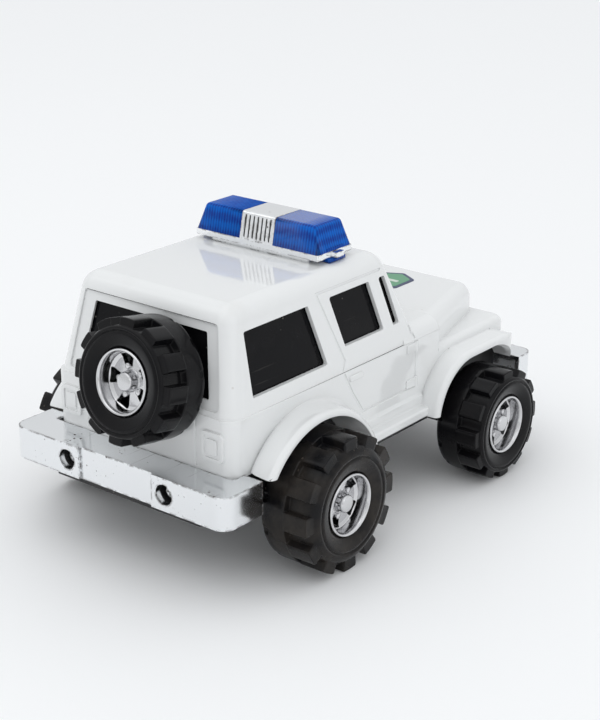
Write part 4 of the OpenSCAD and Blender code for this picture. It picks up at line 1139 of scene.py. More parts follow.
@dataclass
class BodyShell:
    """The white moulding with its windows, arches, flares and running boards."""

    half_w: float = 42.2
    wall: float = 1.8
    belt: float = 60.0
    belt_step: float = 0.5
    belt_lap: float = 2.0
    sill: float = 29.5
    tail: float = 34.6
    tail_low: float = 38.8
    side_lean: float = 10.1
    rear_lean: float = 10.5
    screen_rake: float = 23.9
    screen_foot: float = 74.7
    edge_r: float = 6.0
    corner_r: float = 5.0
    bonnet: float = 65.0
    bonnet_step: float = 0.4
    bonnet_rear_half: float = 41.8
    bonnet_rear_x: float = 82.0
    bonnet_front_half: float = 27.4
    bonnet_x: float = 132.4
    scuttle_x: float = 86.0
    scuttle_run: float = 23.0
    wing: float = 53.0
    wing_r: float = 3.0
    nose_x: float = 134.4
    nose_low: float = 37.4
    nose_corner_r: float = 5.0
    rear_arch_r: float = 32.0
    rear_arch_z: float = 21.4
    rear_root_r: float = 30.2
    rear_crease: Triple = (4.8, 19.7, 36.2)
    rear_flare_out: float = 12.0
    rear_flare_foot: float = 40.4
    front_arch_r: float = 21.7
    front_arch_z: float = 26.1
    front_arch_ends: Point = (96.0, 110.5)
    front_crease: Triple = (97.0, 26.8, 23.4)
    front_flare_out: float = 9.6
    front_flare_end: float = 118.0
    front_flare_turn: float = 15.0
    flare_t: float = 2.5
    flare_r: float = 2.2
    board_out: float = 5.3
    board_t: float = 3.6
    edge_back: float = 1.0
    edge_drop: float = 1.3
    # Thickness and setback of the dark front arch sheet, which is partly painted shade.
    liner_shade_t: float = 0.5
    liner_shade_back: float = 1.4
    window_r: float = 0.7
    quarter: tuple[Point, ...] = ((-22.0, 87.6), (-22.0, 65.0), (18.48, 65.0), (12.0, 87.6))
    door_pane: tuple[Point, ...] = ((24.0, 87.6), (29.45, 68.6), (52.65, 68.6), (47.2, 87.6))
    vent: tuple[Point, ...] = ((53.2, 87.6), (58.65, 68.6), (62.25, 68.6), (56.8, 87.6))
    rear_pane: tuple[Point, ...] = ((-30.0, 64.8), (30.0, 64.8), (26.1, 87.1), (-26.1, 87.1))
    frame_pane: tuple[Point, ...] = ((-35.3, 61.8), (35.3, 61.8), (31.0, 90.6), (-31.0, 90.6))
    frame_depth: float = 0.8
    screen_pane: tuple[Point, ...] = ((-31.0, 66.8), (31.0, 66.8), (28.0, 87.1), (-28.0, 87.1))
    seam_w: float = 0.9
    seam_d: float = 0.45
    grille_half: Point = (33.05, 5.25)
    grille_z: float = 43.7
    spare_hole_r: float = 5.7
    beyond: float = 20.0
    rear_turns: tuple[Point, ...] = ((0.24, 0.35), (0.5, 1.1), (0.72, 2.4), (0.88, 4.6), (0.97, 7.4))
    rear_turn_sag: float = 0.5
    rear_flare_back: float = -10.0
    front_turns: tuple[Point, ...] = ((0.5, 0.9), (0.85, 3.0))
    board_step: float = 0.2
    board_rounds: tuple[float, ...] = (0, 0.9, 0.9, 0.8, 0.6, 0)
    frame_r: float = 1.5
    door_seam: tuple[Point, ...] = ((26.3, 59.4), (31.6, 50.2), (37.8, 41.5), (70.4, 41.5), (70.4, 59.4))
    frame_seams: tuple[tuple[Point, ...], ...] = (
        ((26.3, 60.4), (28.0, 63.8), (17.2, 90.4), (54.5, 90.4)), ((70.2, 60.4), (68.4, 66.0)))
    tail_seam: tuple[Point, ...] = ((25.6, 41.0), (25.6, 58.6))
    lamp_box: Box = (28.8, 44.5, 38.4, 55.1)
    lamp_layers: tuple[Box, ...] = ((0.0, 1.8, -1.0, 0.8), (1.3, 1.0, -2.0, -0.45), (2.5, 0.7, -1.0, 0.4))
    handle_box: Box = (29.0, 55.5, 37.0, 57.7)
    handle_r: float = 1.05
    handle_out: float = 0.8
    moulding_in: float = 0.6
    hinge_x: Point = (64.5, 71.5)
    hinge_rows: tuple[Point, ...] = ((41.7, 45.1), (55.9, 59.3))
    hinge_r: float = 0.5
    hinge_out: float = 0.55
    knuckle_x: float = 70.4
    knuckle_r: float = 1.0
    knuckle_lap: float = 0.3
    trim_gap: float = 0.02
    trim_lap: float = 0.3
    body_edge: float = 0.22
    small_edge: float = 0.25

    roof: float = field(init=False)

    def __post_init__(self) -> None:
        """Takes the roof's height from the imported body."""
        self.roof = CAR.box("body_shell")[1].z

    def side_y(self, z: float, d: float = 0.0) -> float:
        """Half width above the belt line at a height, drawn in by d."""
        lean = math.radians(self.side_lean)
        return self.half_w - self.belt_step - (z - self.belt) * math.tan(lean) - d / math.cos(lean)

    def rear_x(self, z: float, d: float = 0.0) -> float:
        """Rear face above the belt line at a height, drawn in by d."""
        lean = math.radians(self.rear_lean)
        return -self.tail + self.belt_step + (z - self.belt) * math.tan(lean) + d / math.cos(lean)

    def screen_x(self, z: float, d: float = 0.0) -> float:
        """Windscreen at a height, drawn in by d."""
        rake = math.radians(self.screen_rake)
        return self.screen_foot - (z - self.belt) * math.tan(rake) - d / math.cos(rake)

    def greenhouse(self, d: float) -> Solid:
        """Leaning box of roof and windows with rounded edges, drawn in by d."""
        low, high = self.belt - self.belt_lap, self.roof - d
        rings = [
            rectangle(self.rear_x(z, d), -self.side_y(z, d), self.screen_x(z, d), self.side_y(z, d))
            for z in (low, high)]
        made = Solid.loft(rings, Along.Z, [low, high])
        return made.bevelled(reaches(low + 1), self.edge_r - d, 8)

    def tub(self, d: float, low: float) -> Solid:
        """Upright box below the belt line, drawn in by d."""
        box = rectangle(-self.tail + d, -self.half_w + d, self.scuttle_x - d, self.half_w - d)
        return Solid.prism(
            rounded(box, [self.corner_r - d, 0, 0, self.corner_r - d]), Along.Z, low, self.belt)

    def scuttle(self, d: float) -> Solid:
        """Raised band between windscreen and bonnet, drawn in by d."""
        box = rectangle(-self.half_w + d, self.sill, self.half_w - d, self.bonnet - d)
        outline = rounded(box, [0, 0, self.edge_r - d, self.edge_r - d], 8)
        return Solid.prism(outline, Along.X, self.scuttle_x - self.scuttle_run, self.scuttle_x - d)

    def hood(self, d: float) -> Solid:
        """Tapered bonnet, drawn in by d."""
        a, b = self.bonnet_rear_half - d, self.bonnet_front_half - d
        plan = [
            (self.bonnet_rear_x - d, -a), (self.bonnet_x - d, -b), (self.bonnet_x - d, b),
            (self.bonnet_rear_x - d, a)]
        low = self.wing - 2 * self.wall
        made = Solid.prism(plan, Along.Z, low, self.bonnet - self.bonnet_step - d)
        return made.bevelled(reaches(low + 1), self.edge_r - d, 8)

    def wings(self, d: float, low: float) -> Solid:
        """Flat front wings and nose, drawn in by d."""
        top, front = self.wing - d, self.nose_x - d
        box = rectangle(self.scuttle_x - 2 * self.edge_r, -self.half_w + d, front, self.half_w - d)
        made = Solid.prism(
            rounded(box, [0, self.nose_corner_r - d, self.nose_corner_r - d, 0], 8), Along.Z, low, top)

        def is_rim(edge: bmesh.types.BMEdge) -> bool:
            """Whether an edge lies on the top ahead of the scuttle."""
            places = [v.co for v in edge.verts]
            return min(p.z for p in places) > top - 0.01 and max(p.x for p in places) > self.scuttle_x

        return made.bevelled(is_rim, self.wing_r - d / 2, 5)

    def lip(self, out: float, steps: int = 6) -> list[Point]:
        """Rounded edge of a flare, as how much its radius shrinks and how far out."""
        turns = [math.radians(90 * i / steps) for i in range(steps + 1)]
        return [(self.flare_r * (1 - math.cos(a)), out - self.flare_r * (1 - math.sin(a))) for a in turns]

    def flare(
            self, crease: Triple, edge: Triple, out: float, turns: Sequence[Point],
            outline: Callable[[float, float, float], list[Point]], sag: float = 0.0) -> Solid:
        """Flare on the left that turns from its crease to its rounded edge.

        Args:
            crease: Place and radius of the ring where it leaves the side.
            edge: Place and radius of the ring at its edge.
            out: How far its edge stands out.
            turns: Rings on the way, as the share of the way and how far they stand out.
            outline: Makes a ring from its place and radius.
            sag: How far it sags on the way, like a trumpet.

        Returns:
            The flare before it is trimmed.
        """
        rings = [(crease, -self.wall / 2), (crease, 0.0)]
        for share, at in turns:
            x, z, r = (a + (b - a) * share for a, b in zip(crease, edge))
            rings.append(((x, z, r - sag * share * (1 - share)), at))
        x, z, r = edge
        rings += [((x, z, r - d), at) for d, at in self.lip(out)]
        outs = [self.half_w + at for _, at in rings]
        return Solid.loft([outline(*ring) for ring, _ in rings], Along.Y, outs)

    def rear_flare(self) -> Solid:
        """Flare over the left rear wheel."""
        edge_r = self.rear_arch_r + self.flare_t
        made = self.flare(
            self.rear_crease, (0.0, self.rear_arch_z, edge_r), self.rear_flare_out, self.rear_turns,
            lambda x, z, r: circle(x, z, r, 160), self.rear_turn_sag)
        wide, back, foot = 2 * edge_r, self.rear_flare_back, self.rear_flare_foot
        limits = [
            (-wide, foot), (back, foot), (back, self.sill), (wide, self.sill), (wide, self.belt),
            (-wide, self.belt)]
        return made.joined([Solid.prism(limits, Along.Y, 0, 2 * self.half_w)], Join.COMMON)

    def rear_arch(self) -> Solid:
        """Cutter for the left rear arch, wider at the flare's edge."""
        root, wide, out = self.rear_root_r, self.rear_arch_r, self.rear_flare_out
        rings = [(root, -2 * self.wall), (root, 0.0), (wide, out), (wide, out + 1)]
        outs = [self.half_w + at for _, at in rings]
        return Solid.loft([circle(0, self.rear_arch_z, r, 160) for r, _ in rings], Along.Y, outs)

    @staticmethod
    def stadium(x0: float, x1: float, z: float, r: float, steps: int = 120) -> list[Point]:
        """Two half circles around x0 and x1 with straight runs between them."""
        ahead = [i < steps / 4 or i >= 3 * steps / 4 for i in range(steps)]
        return [(u + (x1 if front else x0), v + z) for front, (u, v) in zip(ahead, circle(0, 0, r, steps))]

    def front_flare(self) -> Solid:
        """Flare over the left front wheel, drawn out to the nose and turned round its corner."""
        x0, x1 = self.front_arch_ends[0], self.front_flare_end
        edge_r, out = self.front_arch_r + self.flare_t, self.front_flare_out
        made = self.flare(
            self.front_crease, (x0, self.front_arch_z, edge_r), out, self.front_turns,
            lambda x, z, r: self.stadium(x, x1, z, r))
        back, nose, low, y = x0 - 2 * edge_r, self.nose_x, self.nose_low, self.half_w + out
        limits = [
            (back, self.sill), (x0, self.sill), (x0, low), (nose, low), (nose, self.wing), (back, self.wing)]
        plan = rounded([(back, 0), (nose, 0), (nose, y), (back, y)], [0, 0, self.front_flare_turn, 0], 12)
        keep = [Solid.prism(limits, Along.Y, 0, 2 * self.half_w), Solid.prism(plan, Along.Z, 0, self.belt)]
        return made.joined(keep, Join.COMMON)

    def front_arch(self) -> Solid:
        """Cutter for the left front arch."""
        outline = self.stadium(*self.front_arch_ends, self.front_arch_z, self.front_arch_r)
        return Solid.prism(
            outline, Along.Y, self.half_w - 2 * self.wall, self.half_w + self.front_flare_out + 1)

    def board_ends(self) -> Point:
        """Where a running board meets the rear and the front arch."""
        rear = math.sqrt(self.rear_root_r ** 2 - (self.sill - self.rear_arch_z) ** 2)
        front = math.sqrt(self.front_arch_r ** 2 - (self.sill - self.front_arch_z) ** 2)
        return rear, self.front_arch_ends[0] - front

    def board(self) -> Solid:
        """Running board on the left with its upper step."""
        out, step = self.half_w + self.board_out, self.half_w + self.board_out * self.board_step
        t = self.board_t
        low, rise, inner = self.sill, self.sill + t, self.half_w - self.wall / 2
        corners = [
            (inner, low), (out, low), (out, rise), (step, rise), (step, rise + t),
            (inner, rise + t + self.wall)]
        return Solid.prism(rounded(corners, self.board_rounds, 4), Along.X, *self.board_ends())

    def rear_plane(self) -> Matrix:
        """Frame of the leaning rear face: X to the right side, Y up the slope, Z outward."""
        lean = math.radians(self.rear_lean)
        up, out = Vector((math.sin(lean), 0, math.cos(lean))), Vector((-math.cos(lean), 0, math.sin(lean)))
        return plane_frame(Vector((self.rear_x(self.belt), 0, self.belt)), Vector((0, -1, 0)), up, out)

    def side_plane(self) -> Matrix:
        """Frame of the leaning left side: X to the rear, Y up the slope, Z outward."""
        lean = math.radians(self.side_lean)
        up, out = Vector((0, -math.sin(lean), math.cos(lean))), Vector((0, math.cos(lean), math.sin(lean)))
        return plane_frame(Vector((0, self.side_y(self.belt), self.belt)), Vector((-1, 0, 0)), up, out)

    def windows(self) -> list[Solid]:
        """Cutters for all windows and the frame of the rear one."""
        wide, r = 2 * self.half_w, self.window_r
        cuts = [
            Solid.prism(rounded(p, r, 3), Along.Y, -wide, wide)
            for p in (self.quarter, self.door_pane, self.vent)]
        cuts.append(Solid.prism(
            rounded(self.rear_pane, r, 3), Along.X, -self.tail - self.beyond, -self.beyond))
        cuts.append(Solid.prism(
            rounded(self.screen_pane, r, 3), Along.X, self.vent[0][0], self.screen_foot + 1))
        slope = math.cos(math.radians(self.rear_lean))
        pane = [(-y, (z - self.belt) / slope) for y, z in self.frame_pane]
        frame_cut = Solid.prism(rounded(pane, self.frame_r, 4), Along.Z, -self.frame_depth, self.beyond)
        return [*cuts, frame_cut.moved(self.rear_plane())]

    def band(self, points: Sequence[Point]) -> list[Point]:
        """Outline of a narrow band along a line with mitred corners."""
        line = [Vector(p) for p in points]
        runs = [(b - a).normalized() for a, b in zip(line, line[1:])]
        offs = []
        for i in range(len(line)):
            before, after = runs[max(i - 1, 0)], runs[min(i, len(runs) - 1)]
            across = Vector((-(before + after).y, (before + after).x)).normalized()
            offs.append(across * self.seam_w / 2 / across.dot(Vector((-after.y, after.x))))
        there, back = [tuple(p + o) for p, o in zip(line, offs)], [tuple(p - o) for p, o in zip(line, offs)]
        return there + back[::-1]

    def seams(self) -> list[Solid]:
        """Cutters for the seams of doors and tailgate."""
        d, y = self.seam_d, self.half_w
        cuts = [Solid.prism(self.band(self.door_seam), Along.Y, y - d, y + 1)]
        slope = math.cos(math.radians(self.side_lean))
        for line in self.frame_seams:
            flat = [(-u, (v - self.belt) / slope) for u, v in line]
            cuts.append(Solid.prism(self.band(flat), Along.Z, -d, 1).moved(self.side_plane()))
        cuts.append(Solid.prism(self.band(self.tail_seam), Along.X, -self.tail - 1, -self.tail + d))
        return Solid.both(cuts)

    def solid(self) -> Solid:
        """The whole moulding."""
        w, wide = self.wall, 2 * self.half_w
        tail_cut = Solid.prism(rectangle(-self.tail - 1, 0, 0, self.tail_low), Along.Y, -wide, wide)
        left = [self.board(), self.rear_flare(), self.front_flare()]
        outside = self.tub(0, self.sill).cut(tail_cut)
        outside = outside.united(
            self.greenhouse(0), self.scuttle(0), self.hood(0), self.wings(0, self.nose_low),
            *Solid.both(left))
        inside = self.tub(w, 0).united(self.greenhouse(w), self.scuttle(w), self.hood(w), self.wings(w, 0))
        half, rise = self.grille_half
        opening = rectangle(-half, self.grille_z - rise, half, self.grille_z + rise)
        pocket = Solid.prism(opening, Along.X, self.nose_x - w / 2, self.nose_x + 1)
        hole = Solid.prism(circle(0, 0, self.spare_hole_r, 48), Along.Z, -4 * w, 4 * w)
        hole = hole.moved(Matrix.Translation(CAR.spare_foot) @ CAR.spare_turn())
        arches = Solid.both([self.rear_arch(), self.front_arch()])
        return outside.cut(inside, *arches, *self.windows(), pocket, hole, *self.seams())

    def build(self) -> None:
        """Builds the body and its small mouldings."""
        Piece(
            "white_body", self.solid(), "car", WHITE, ("body_shell",), self.body_edge, 3, clamp=False).build()
        small = (
            ("tail_lamp", self.tail_lamp(), WHITE), ("door_handle", self.handle(), WHITE),
            ("door_hinges", self.hinges(), WHITE), ("sill_chassis_edge", self.sill_edge(), CHASSIS_BLACK),
            # The front arch sheet is partly a black liner and partly painted shade inside the arch.
            ("front_arch_liner_and_shade", self.front_liner_and_shade(), CHASSIS_BLACK))
        for side in Side:
            for name, made, finish in small:
                turned = made if side is Side.LEFT else made.mirrored()
                Piece(f"{side.word}_{name}", turned, "car", finish, (), self.small_edge, 2).build()

    def front_liner_and_shade(self) -> Solid:
        """Dark sheet in the left front arch behind the flare's white lip, partly black liner and partly
        painted shade.
        """
        low, far, y = self.sill + 1, self.front_flare_end, self.half_w
        runs = []
        for d in (self.trim_gap, self.liner_shade_t):
            arch = self.stadium(*self.front_arch_ends, self.front_arch_z, self.front_arch_r - d)
            runs.append([p for p in arch if p[1] > low and p[0] < far])
        out = y + self.front_flare_out - self.liner_shade_back
        return Solid.prism(runs[0] + runs[1][::-1], Along.Y, y + self.trim_lap, out)

    def sill_edge(self) -> Solid:
        """Edge of the black chassis that shows below the left running board."""
        x0, x1 = self.board_ends()
        out, drop = self.half_w + self.board_out - self.edge_back, self.sill - self.edge_drop
        plan = rounded(
            rectangle(self.half_w, drop, out, self.sill + self.trim_lap), [0, self.trim_lap, 0, 0], 3)
        return Solid.prism(plan, Along.X, x0 + self.edge_back, x1 - self.edge_back)

    def tail_lamp(self) -> Solid:
        """Moulded tail lamp on the left: frame, recess and raised middle."""
        y0, z0, y1, z1 = self.lamp_box
        layers = []
        for d, r, low, high in self.lamp_layers:
            box = (y0 + d, z0 + d, y1 - d, z1 - d)
            layers.append(Solid.plate(box, r, Along.X, (low - self.tail, high - self.tail), 6))
        block, recess, middle = layers
        return block.cut(recess).united(middle)

    def handle(self) -> Solid:
        """Door handle on the left, a flat pill."""
        run = (self.half_w - self.moulding_in, self.half_w + self.handle_out)
        return Solid.plate(self.handle_box, self.handle_r, Along.Y, run, 5)

    def hinges(self) -> Solid:
        """Door hinges on the left: leaves with a knuckle."""
        (x0, x1), y, lap = self.hinge_x, self.half_w, self.knuckle_lap
        made = []
        for low, high in self.hinge_rows:
            run = (y - self.moulding_in, y + self.hinge_out)
            leaf = Solid.plate((x0, low, x1, high), self.hinge_r, Along.Y, run)
            knuckle = Solid.prism(
                circle(self.knuckle_x, y, self.knuckle_r, 20), Along.Z, low - lap, high + lap)
            made.append(leaf.united(knuckle))
        return made[0].united(*made[1:])


def plane_frame(origin: Vector, right: Vector, up: Vector, out: Vector) -> Matrix:
    """Matrix of a plane's frame.

    Args:
        origin: Its origin.
        right: Its first axis.
        up: Its second axis.
        out: Its normal.

    Returns:
        The matrix from the plane to the car.
    """
    made = Matrix((right, up, out)).transposed().to_4x4()
    made.translation = origin
    return made


# Bumpers, light bar and trim


@dataclass
class Screw:
    """Pan-head screw with a cross recess: the head's underside is at 0 and the shank runs along +Z."""

    shank_r: float = 1.5
    length: float = 12.0
    head_r: float = 2.8
    head_h: float = 1.9
    slot_w: float = 0.75
    slot_len: float = 3.4
    slot_d: float = 1.2

    def solid(self) -> Solid:
        """Turned screw with two crossed slots."""
        r, h, s = self.head_r, self.head_h, self.shank_r
        turned = Solid.lathe([
            (0, -h), (r * 0.55, -h * 0.97), (r * 0.8, -h * 0.8), (r * 0.95, -h * 0.5), (r, -h * 0.2), (r, 0),
            (s, 0), (s, self.length - s), (s * 0.4, self.length), (0, self.length)], 40)
        u, v = self.slot_len / 2, self.slot_w / 2
        slot = Solid.prism(rectangle(-u, -v, u, v), Along.Z, -h - 1, -h + self.slot_d)
        return turned.cut(slot, slot.moved(Matrix.Rotation(math.pi / 2, 4, "Z")))


@dataclass
class Bumper:
    """Metallised channel bumper with two screw wells."""

    node: str
    outward: int
    wing: float
    middle_d: float
    wall: float = 1.8
    corner_r: float = 5.0
    middle_half: float = 17.4
    screw_half: float = 23.3
    well_r: float = 3.7
    well_d: float = 5.0
    body_half: float = 42.5
    shank_r: float = 1.55
    lip: Point | None = None
    lip_drop: float = 1.7
    lip_back: float = 1.3
    lip_run: float = 8.0
    lip_cut: float = 3.0
    lip_rounds: tuple[float, ...] = (0.5, 0.8, 0.8, 0.8, 0.5)
    cup_bore: float = 2.9
    cup_gap: float = 0.02
    cup_t: float = 0.2
    cup_top_t: float = 0.12
    cup_foot: float = 0.25
    cup_share: float = 0.55

    def __post_init__(self) -> None:
        """Reads the place of the bumper."""
        self.low, self.high = CAR.box(self.node)
        self.depth = self.high.x - self.low.x - self.wing
        self.mid = (self.low.z + self.high.z) / 2

    def solid(self) -> Solid:
        """The bumper, seen with +X pointing out of the car and the car's end face at 0."""
        depth, half, mid, z0, z1 = self.depth, self.high.y, self.mid, self.low.z, self.high.z
        plan = rounded(rectangle(-self.wing, -half, depth, half), [0, self.corner_r, self.corner_r, 0], 8)
        block = Solid.prism(plan, Along.Z, z0, z1)
        w = self.wall
        room = rectangle(-self.wing - 1, -half + w, depth - w - self.middle_d, half - w)
        hollow = Solid.prism(room, Along.Z, z0 - 1, z1 - w)
        shifts = [Matrix.Translation((0, s.value * self.screw_half, 0)) for s in Side]
        post = Solid.prism(circle(0, mid, self.well_r + w, 40), Along.X, 0, depth)
        well = Solid.prism(circle(0, mid, self.well_r, 48), Along.X, depth - self.well_d, depth + 1)
        bore = Solid.prism(circle(0, mid, self.shank_r, 24), Along.X, -1, depth)
        gaps = [rectangle(-self.wing - 1, -self.body_half, 0, self.body_half)]
        if self.middle_d:
            gaps.append(rectangle(depth - self.middle_d, -self.middle_half, depth + 1, self.middle_half))
        cuts = [Solid.prism(gap, Along.Z, z0 - 1, z1 + 1) for gap in gaps]
        cuts += [cutter.moved(shift) for shift in shifts for cutter in (well, bore)]
        return block.cut(hollow.cut(*[post.moved(shift) for shift in shifts])).cut(*cuts)

    def build(self) -> None:
        """Builds the bumper with its screws."""
        face = self.high.x - self.wing if self.outward < 0 else self.low.x + self.wing
        place = Matrix.Translation((face, 0, 0))
        if self.outward < 0:
            place = place @ Matrix.Rotation(math.pi, 4, "Z")
        Piece(f"{self.node}_channel", self.solid(), "car", BUMPER_METAL, (self.node,), 0.5, 3, place).build()
        screw, cup, replaced = Screw().solid(), self.cup(), (f"{self.node}_screws",)
        for s in Side:
            at = Matrix.Translation((self.depth - self.well_d, s.value * self.screw_half, self.mid))
            spot = place @ at @ Matrix.Rotation(-math.pi / 2, 4, "Y")
            Piece(f"{self.node}_screw_{s.word}", screw, "car", SCREW_STEEL, replaced, 0.12, 2, spot).build()
            # A dark skin darkens the floor and wall of each screw well.
            Piece(f"{self.node}_well_{s.word}", cup, "car", CHASSIS_BLACK, (), 0.05, 1, spot).build()
        if self.lip:
            Piece(
                f"{self.node}_chassis_edge", self.chassis_edge(), "car", CHASSIS_BLACK, (), 0.3, 2,
                place).build()

    def chassis_edge(self) -> Solid:
        """Edge of the black chassis that shows below the bumper."""
        x, c, (y0, y1) = self.depth - self.lip_back, self.lip_cut, self.lip
        back = x - self.lip_run
        plan = rounded([(back, y0), (x, y0), (x, y1 - c), (x - c, y1), (back, y1)], self.lip_rounds, 3)
        return Solid.prism(plan, Along.Z, self.low.z - self.lip_drop, self.low.z + self.lip_drop)

    def cup(self) -> Solid:
        """Dark skin over the floor ring and wall of a well, in a screw's frame, that darkens the well."""
        b, gap, t, foot = self.cup_bore, self.cup_gap, self.cup_t, self.cup_foot
        r = self.well_r - gap
        top = -(self.well_d - foot) * self.cup_share
        return Solid.lathe(
            [(b, -gap), (r, -gap), (r, top), (r - self.cup_top_t, top), (r - t, -foot), (b, -t)], 48)


@dataclass
class LightBar:
    """Tray, ribbed block and two fluted lenses on the roof."""

    tray_t: float = 2.2
    plinth_h: float = 1.8
    plinth_half: float = 23.0
    block_half: float = 7.8
    grooves: int = 7
    groove_w: float = 0.6
    groove_d: float = 0.8
    tab_out: float = 2.4
    lean: float = 12.0
    end_share: float = 1.5
    gap: float = 0.3
    lens_wall: float = 1.3
    lens_r: float = 1.3
    flute_pitch: float = 1.0
    flute_depth: float = 0.45
    lug_x: float = 10.0
    lug_w: float = 9.0
    lug_t: float = 1.2
    lap: float = 0.4
    tray_r: float = 0.8
    plinth_r: float = 1.0
    block_r: float = 1.2
    tab_in: float = 1.0
    tab_r: float = 0.5
    tab_inset: float = 0.2
    groove_ends: Point = (0.6, 1.1)
    groove_round: float = 0.45
    floor_slack: float = 0.06
    floor_back: float = 0.3

    def __post_init__(self) -> None:
        """Reads the place of the tray and the lenses."""
        low, high = CAR.box("light_bar_base")
        self.x0, self.x1 = low.x, high.x
        self.roof, self.top = low.z, high.z
        self.half = high.y - self.tab_out
        self.tray_z = self.roof + self.plinth_h
        self.lens_z = self.tray_z + self.tray_t
        self.run = (self.top - self.lens_z) * math.tan(math.radians(self.lean))

    def base(self) -> Solid:
        """Tray with plinth, end tabs and ribbed block."""
        x0, x1, mid = self.x0, self.x1, (self.x0 + self.x1) / 2
        tray = Solid.plate((x0, -self.half, x1, self.half), self.tray_r, Along.Z, (self.tray_z, self.lens_z))
        p, half = self.plinth_h, self.plinth_half
        run = (self.roof, self.tray_z + self.lap)
        plinth = Solid.plate((x0 + p, -half, x1 - p, half), self.plinth_r, Along.Z, run)
        near, far = self.half - self.tab_in, self.half + self.tab_out
        run = (self.tray_z + self.tab_inset, self.lens_z - self.tab_inset)
        tabs = []
        for y0, y1 in ((near, far), (-far, -near)):
            box = (mid - self.tab_out, y0, mid + self.tab_out, y1)
            tabs.append(Solid.plate(box, self.tab_r, Along.Z, run))
        g, run, foot = self.gap, self.run, self.lens_z - self.lap
        outline = [(x0 + g, foot), (x1 - g, foot), (x1 - g - run, self.top), (x0 + g + run, self.top)]
        outline = rounded(outline, [0, 0, self.block_r, self.block_r], 4)
        block = Solid.prism(outline, Along.Y, -self.block_half, self.block_half)
        return tray.united(plinth, block.cut(*self.bars(self.groove_w, self.groove_d)), *tabs)

    def bars(self, width: float, deep: float, out: float = 2.0) -> list[Solid]:
        """Upright bars along the grooves of the block.

        Args:
            width: Their width.
            deep: How far they go into the block.
            out: How far they stand out of it.

        Returns:
            One bar for each groove at the front and at the back.
        """
        tall = (self.top - self.lens_z) / math.cos(math.radians(self.lean))
        low, high = self.groove_ends
        box = (-width / 2, low, width / 2, tall - high)
        bar = Solid.plate(box, width * self.groove_round, Along.X, (-deep, out), 4)
        made, pitch, lean = [], 2 * self.block_half / (self.grooves + 1), math.radians(self.lean)
        for i in range(self.grooves):
            y = -self.block_half + pitch * (i + 1)
            ahead = Matrix.Rotation(-lean, 4, "Y")
            behind = Matrix.Rotation(lean, 4, "Y") @ Matrix.Rotation(math.pi, 4, "Z")
            for x, turned in ((self.x1 - self.gap, ahead), (self.x0 + self.gap, behind)):
                made.append(bar.moved(Matrix.Translation((x, y, self.lens_z)) @ turned))
        return made

    def counts(self) -> tuple[int, int]:
        """Steps of a ring along X and along Y, two for each flute."""
        runs = (self.x1 - self.x0, self.half - self.block_half)
        return tuple(2 * round(run / self.flute_pitch) for run in runs)

    def ring(self, inset: float, z: float, wavy: bool) -> list[Point]:
        """Outline of the left lens at a height.

        Args:
            inset: How far it is drawn in.
            z: The height.
            wavy: Whether the long sides and the outer end carry flutes.

        Returns:
            Points over X and Y.
        """
        share = (z - self.lens_z) / (self.top - self.lens_z)
        x0 = self.x0 + self.gap + self.run * share + inset
        x1 = self.x1 - self.gap - self.run * share - inset
        y0, y1 = self.block_half + self.gap + inset, self.half - self.end_share * self.run * share - inset
        corners = [Vector(p) for p in rectangle(x0, y0, x1, y1)]
        counts = self.counts()
        points: list[Point] = []
        for i, a in enumerate(corners):
            b = corners[(i + 1) % 4]
            run = (b - a).normalized()
            inward = Vector((-run.y, run.x))
            count = counts[i % 2]
            for k in range(count):
                wave = self.flute_depth * (k % 2) if wavy and i != 0 else 0.0
                points.append(tuple(a + (b - a) * k / count + inward * wave))
        return points

    def lens(self) -> Solid:
        """Left lens: a rounded hood with flutes inside and a hook under the tray."""
        rings = [self.ring(0, z, False) for z in (self.lens_z, self.top)]
        corners = [[ring[i] for i in self.corner_steps()] for ring in rings]
        above = reaches(self.lens_z + 1)

        def is_outer(edge: bmesh.types.BMEdge) -> bool:
            """Whether an edge lies above the foot and away from the block."""
            return above(edge) and max(v.co.y for v in edge.verts) > self.block_half + 2

        outer = Solid.loft(corners, Along.Z, [self.lens_z, self.top]).bevelled(is_outer, self.lens_r, 6)
        w = self.lens_wall
        heights = [self.lens_z - 1, self.top - w]
        hollow = Solid.loft([self.ring(w, z, True) for z in heights], Along.Z, heights)
        x, t = self.x0 + self.lug_x, self.lug_t
        y, half = self.half - 3 * t, self.lug_w / 2
        foot, z = self.roof + self.gap, self.lens_z
        hook = [
            (y, foot), (y + 4 * t, foot), (y + 4 * t, foot + t), (y + t, foot + t), (y + t, z),
            (y + 3 * t, z), (y + 3 * t, z + w), (y, z + w)]
        return outer.cut(hollow).united(Solid.prism(hook, Along.X, x - half, x + half))

    def corner_steps(self) -> list[int]:
        """Places of the four corners in a ring."""
        along, across = self.counts()
        return [0, along, along + across, 2 * along + across]

    def build(self) -> None:
        """Builds the tray, the painted shade in the block's grooves and both lenses."""
        Piece("light_bar_tray", self.base(), "car", TRAY_METAL, ("light_bar_base",), 0.22, 2).build()
        # Black bars at the floors of the block's grooves are painted shade in the grooves.
        first, *others = self.bars(self.groove_w - self.floor_slack, self.groove_d, -self.floor_back)
        Piece("block_groove_painted_shade", first.united(*others), "car", CHASSIS_BLACK, (), 0, 1).build()
        lens = self.lens()
        for side, made in zip(Side, Solid.both([lens])):
            Piece(f"{side.word}_lens_fluted", made, "car", BLUE, (f"{side.word}_lens",), 0, 2).build()


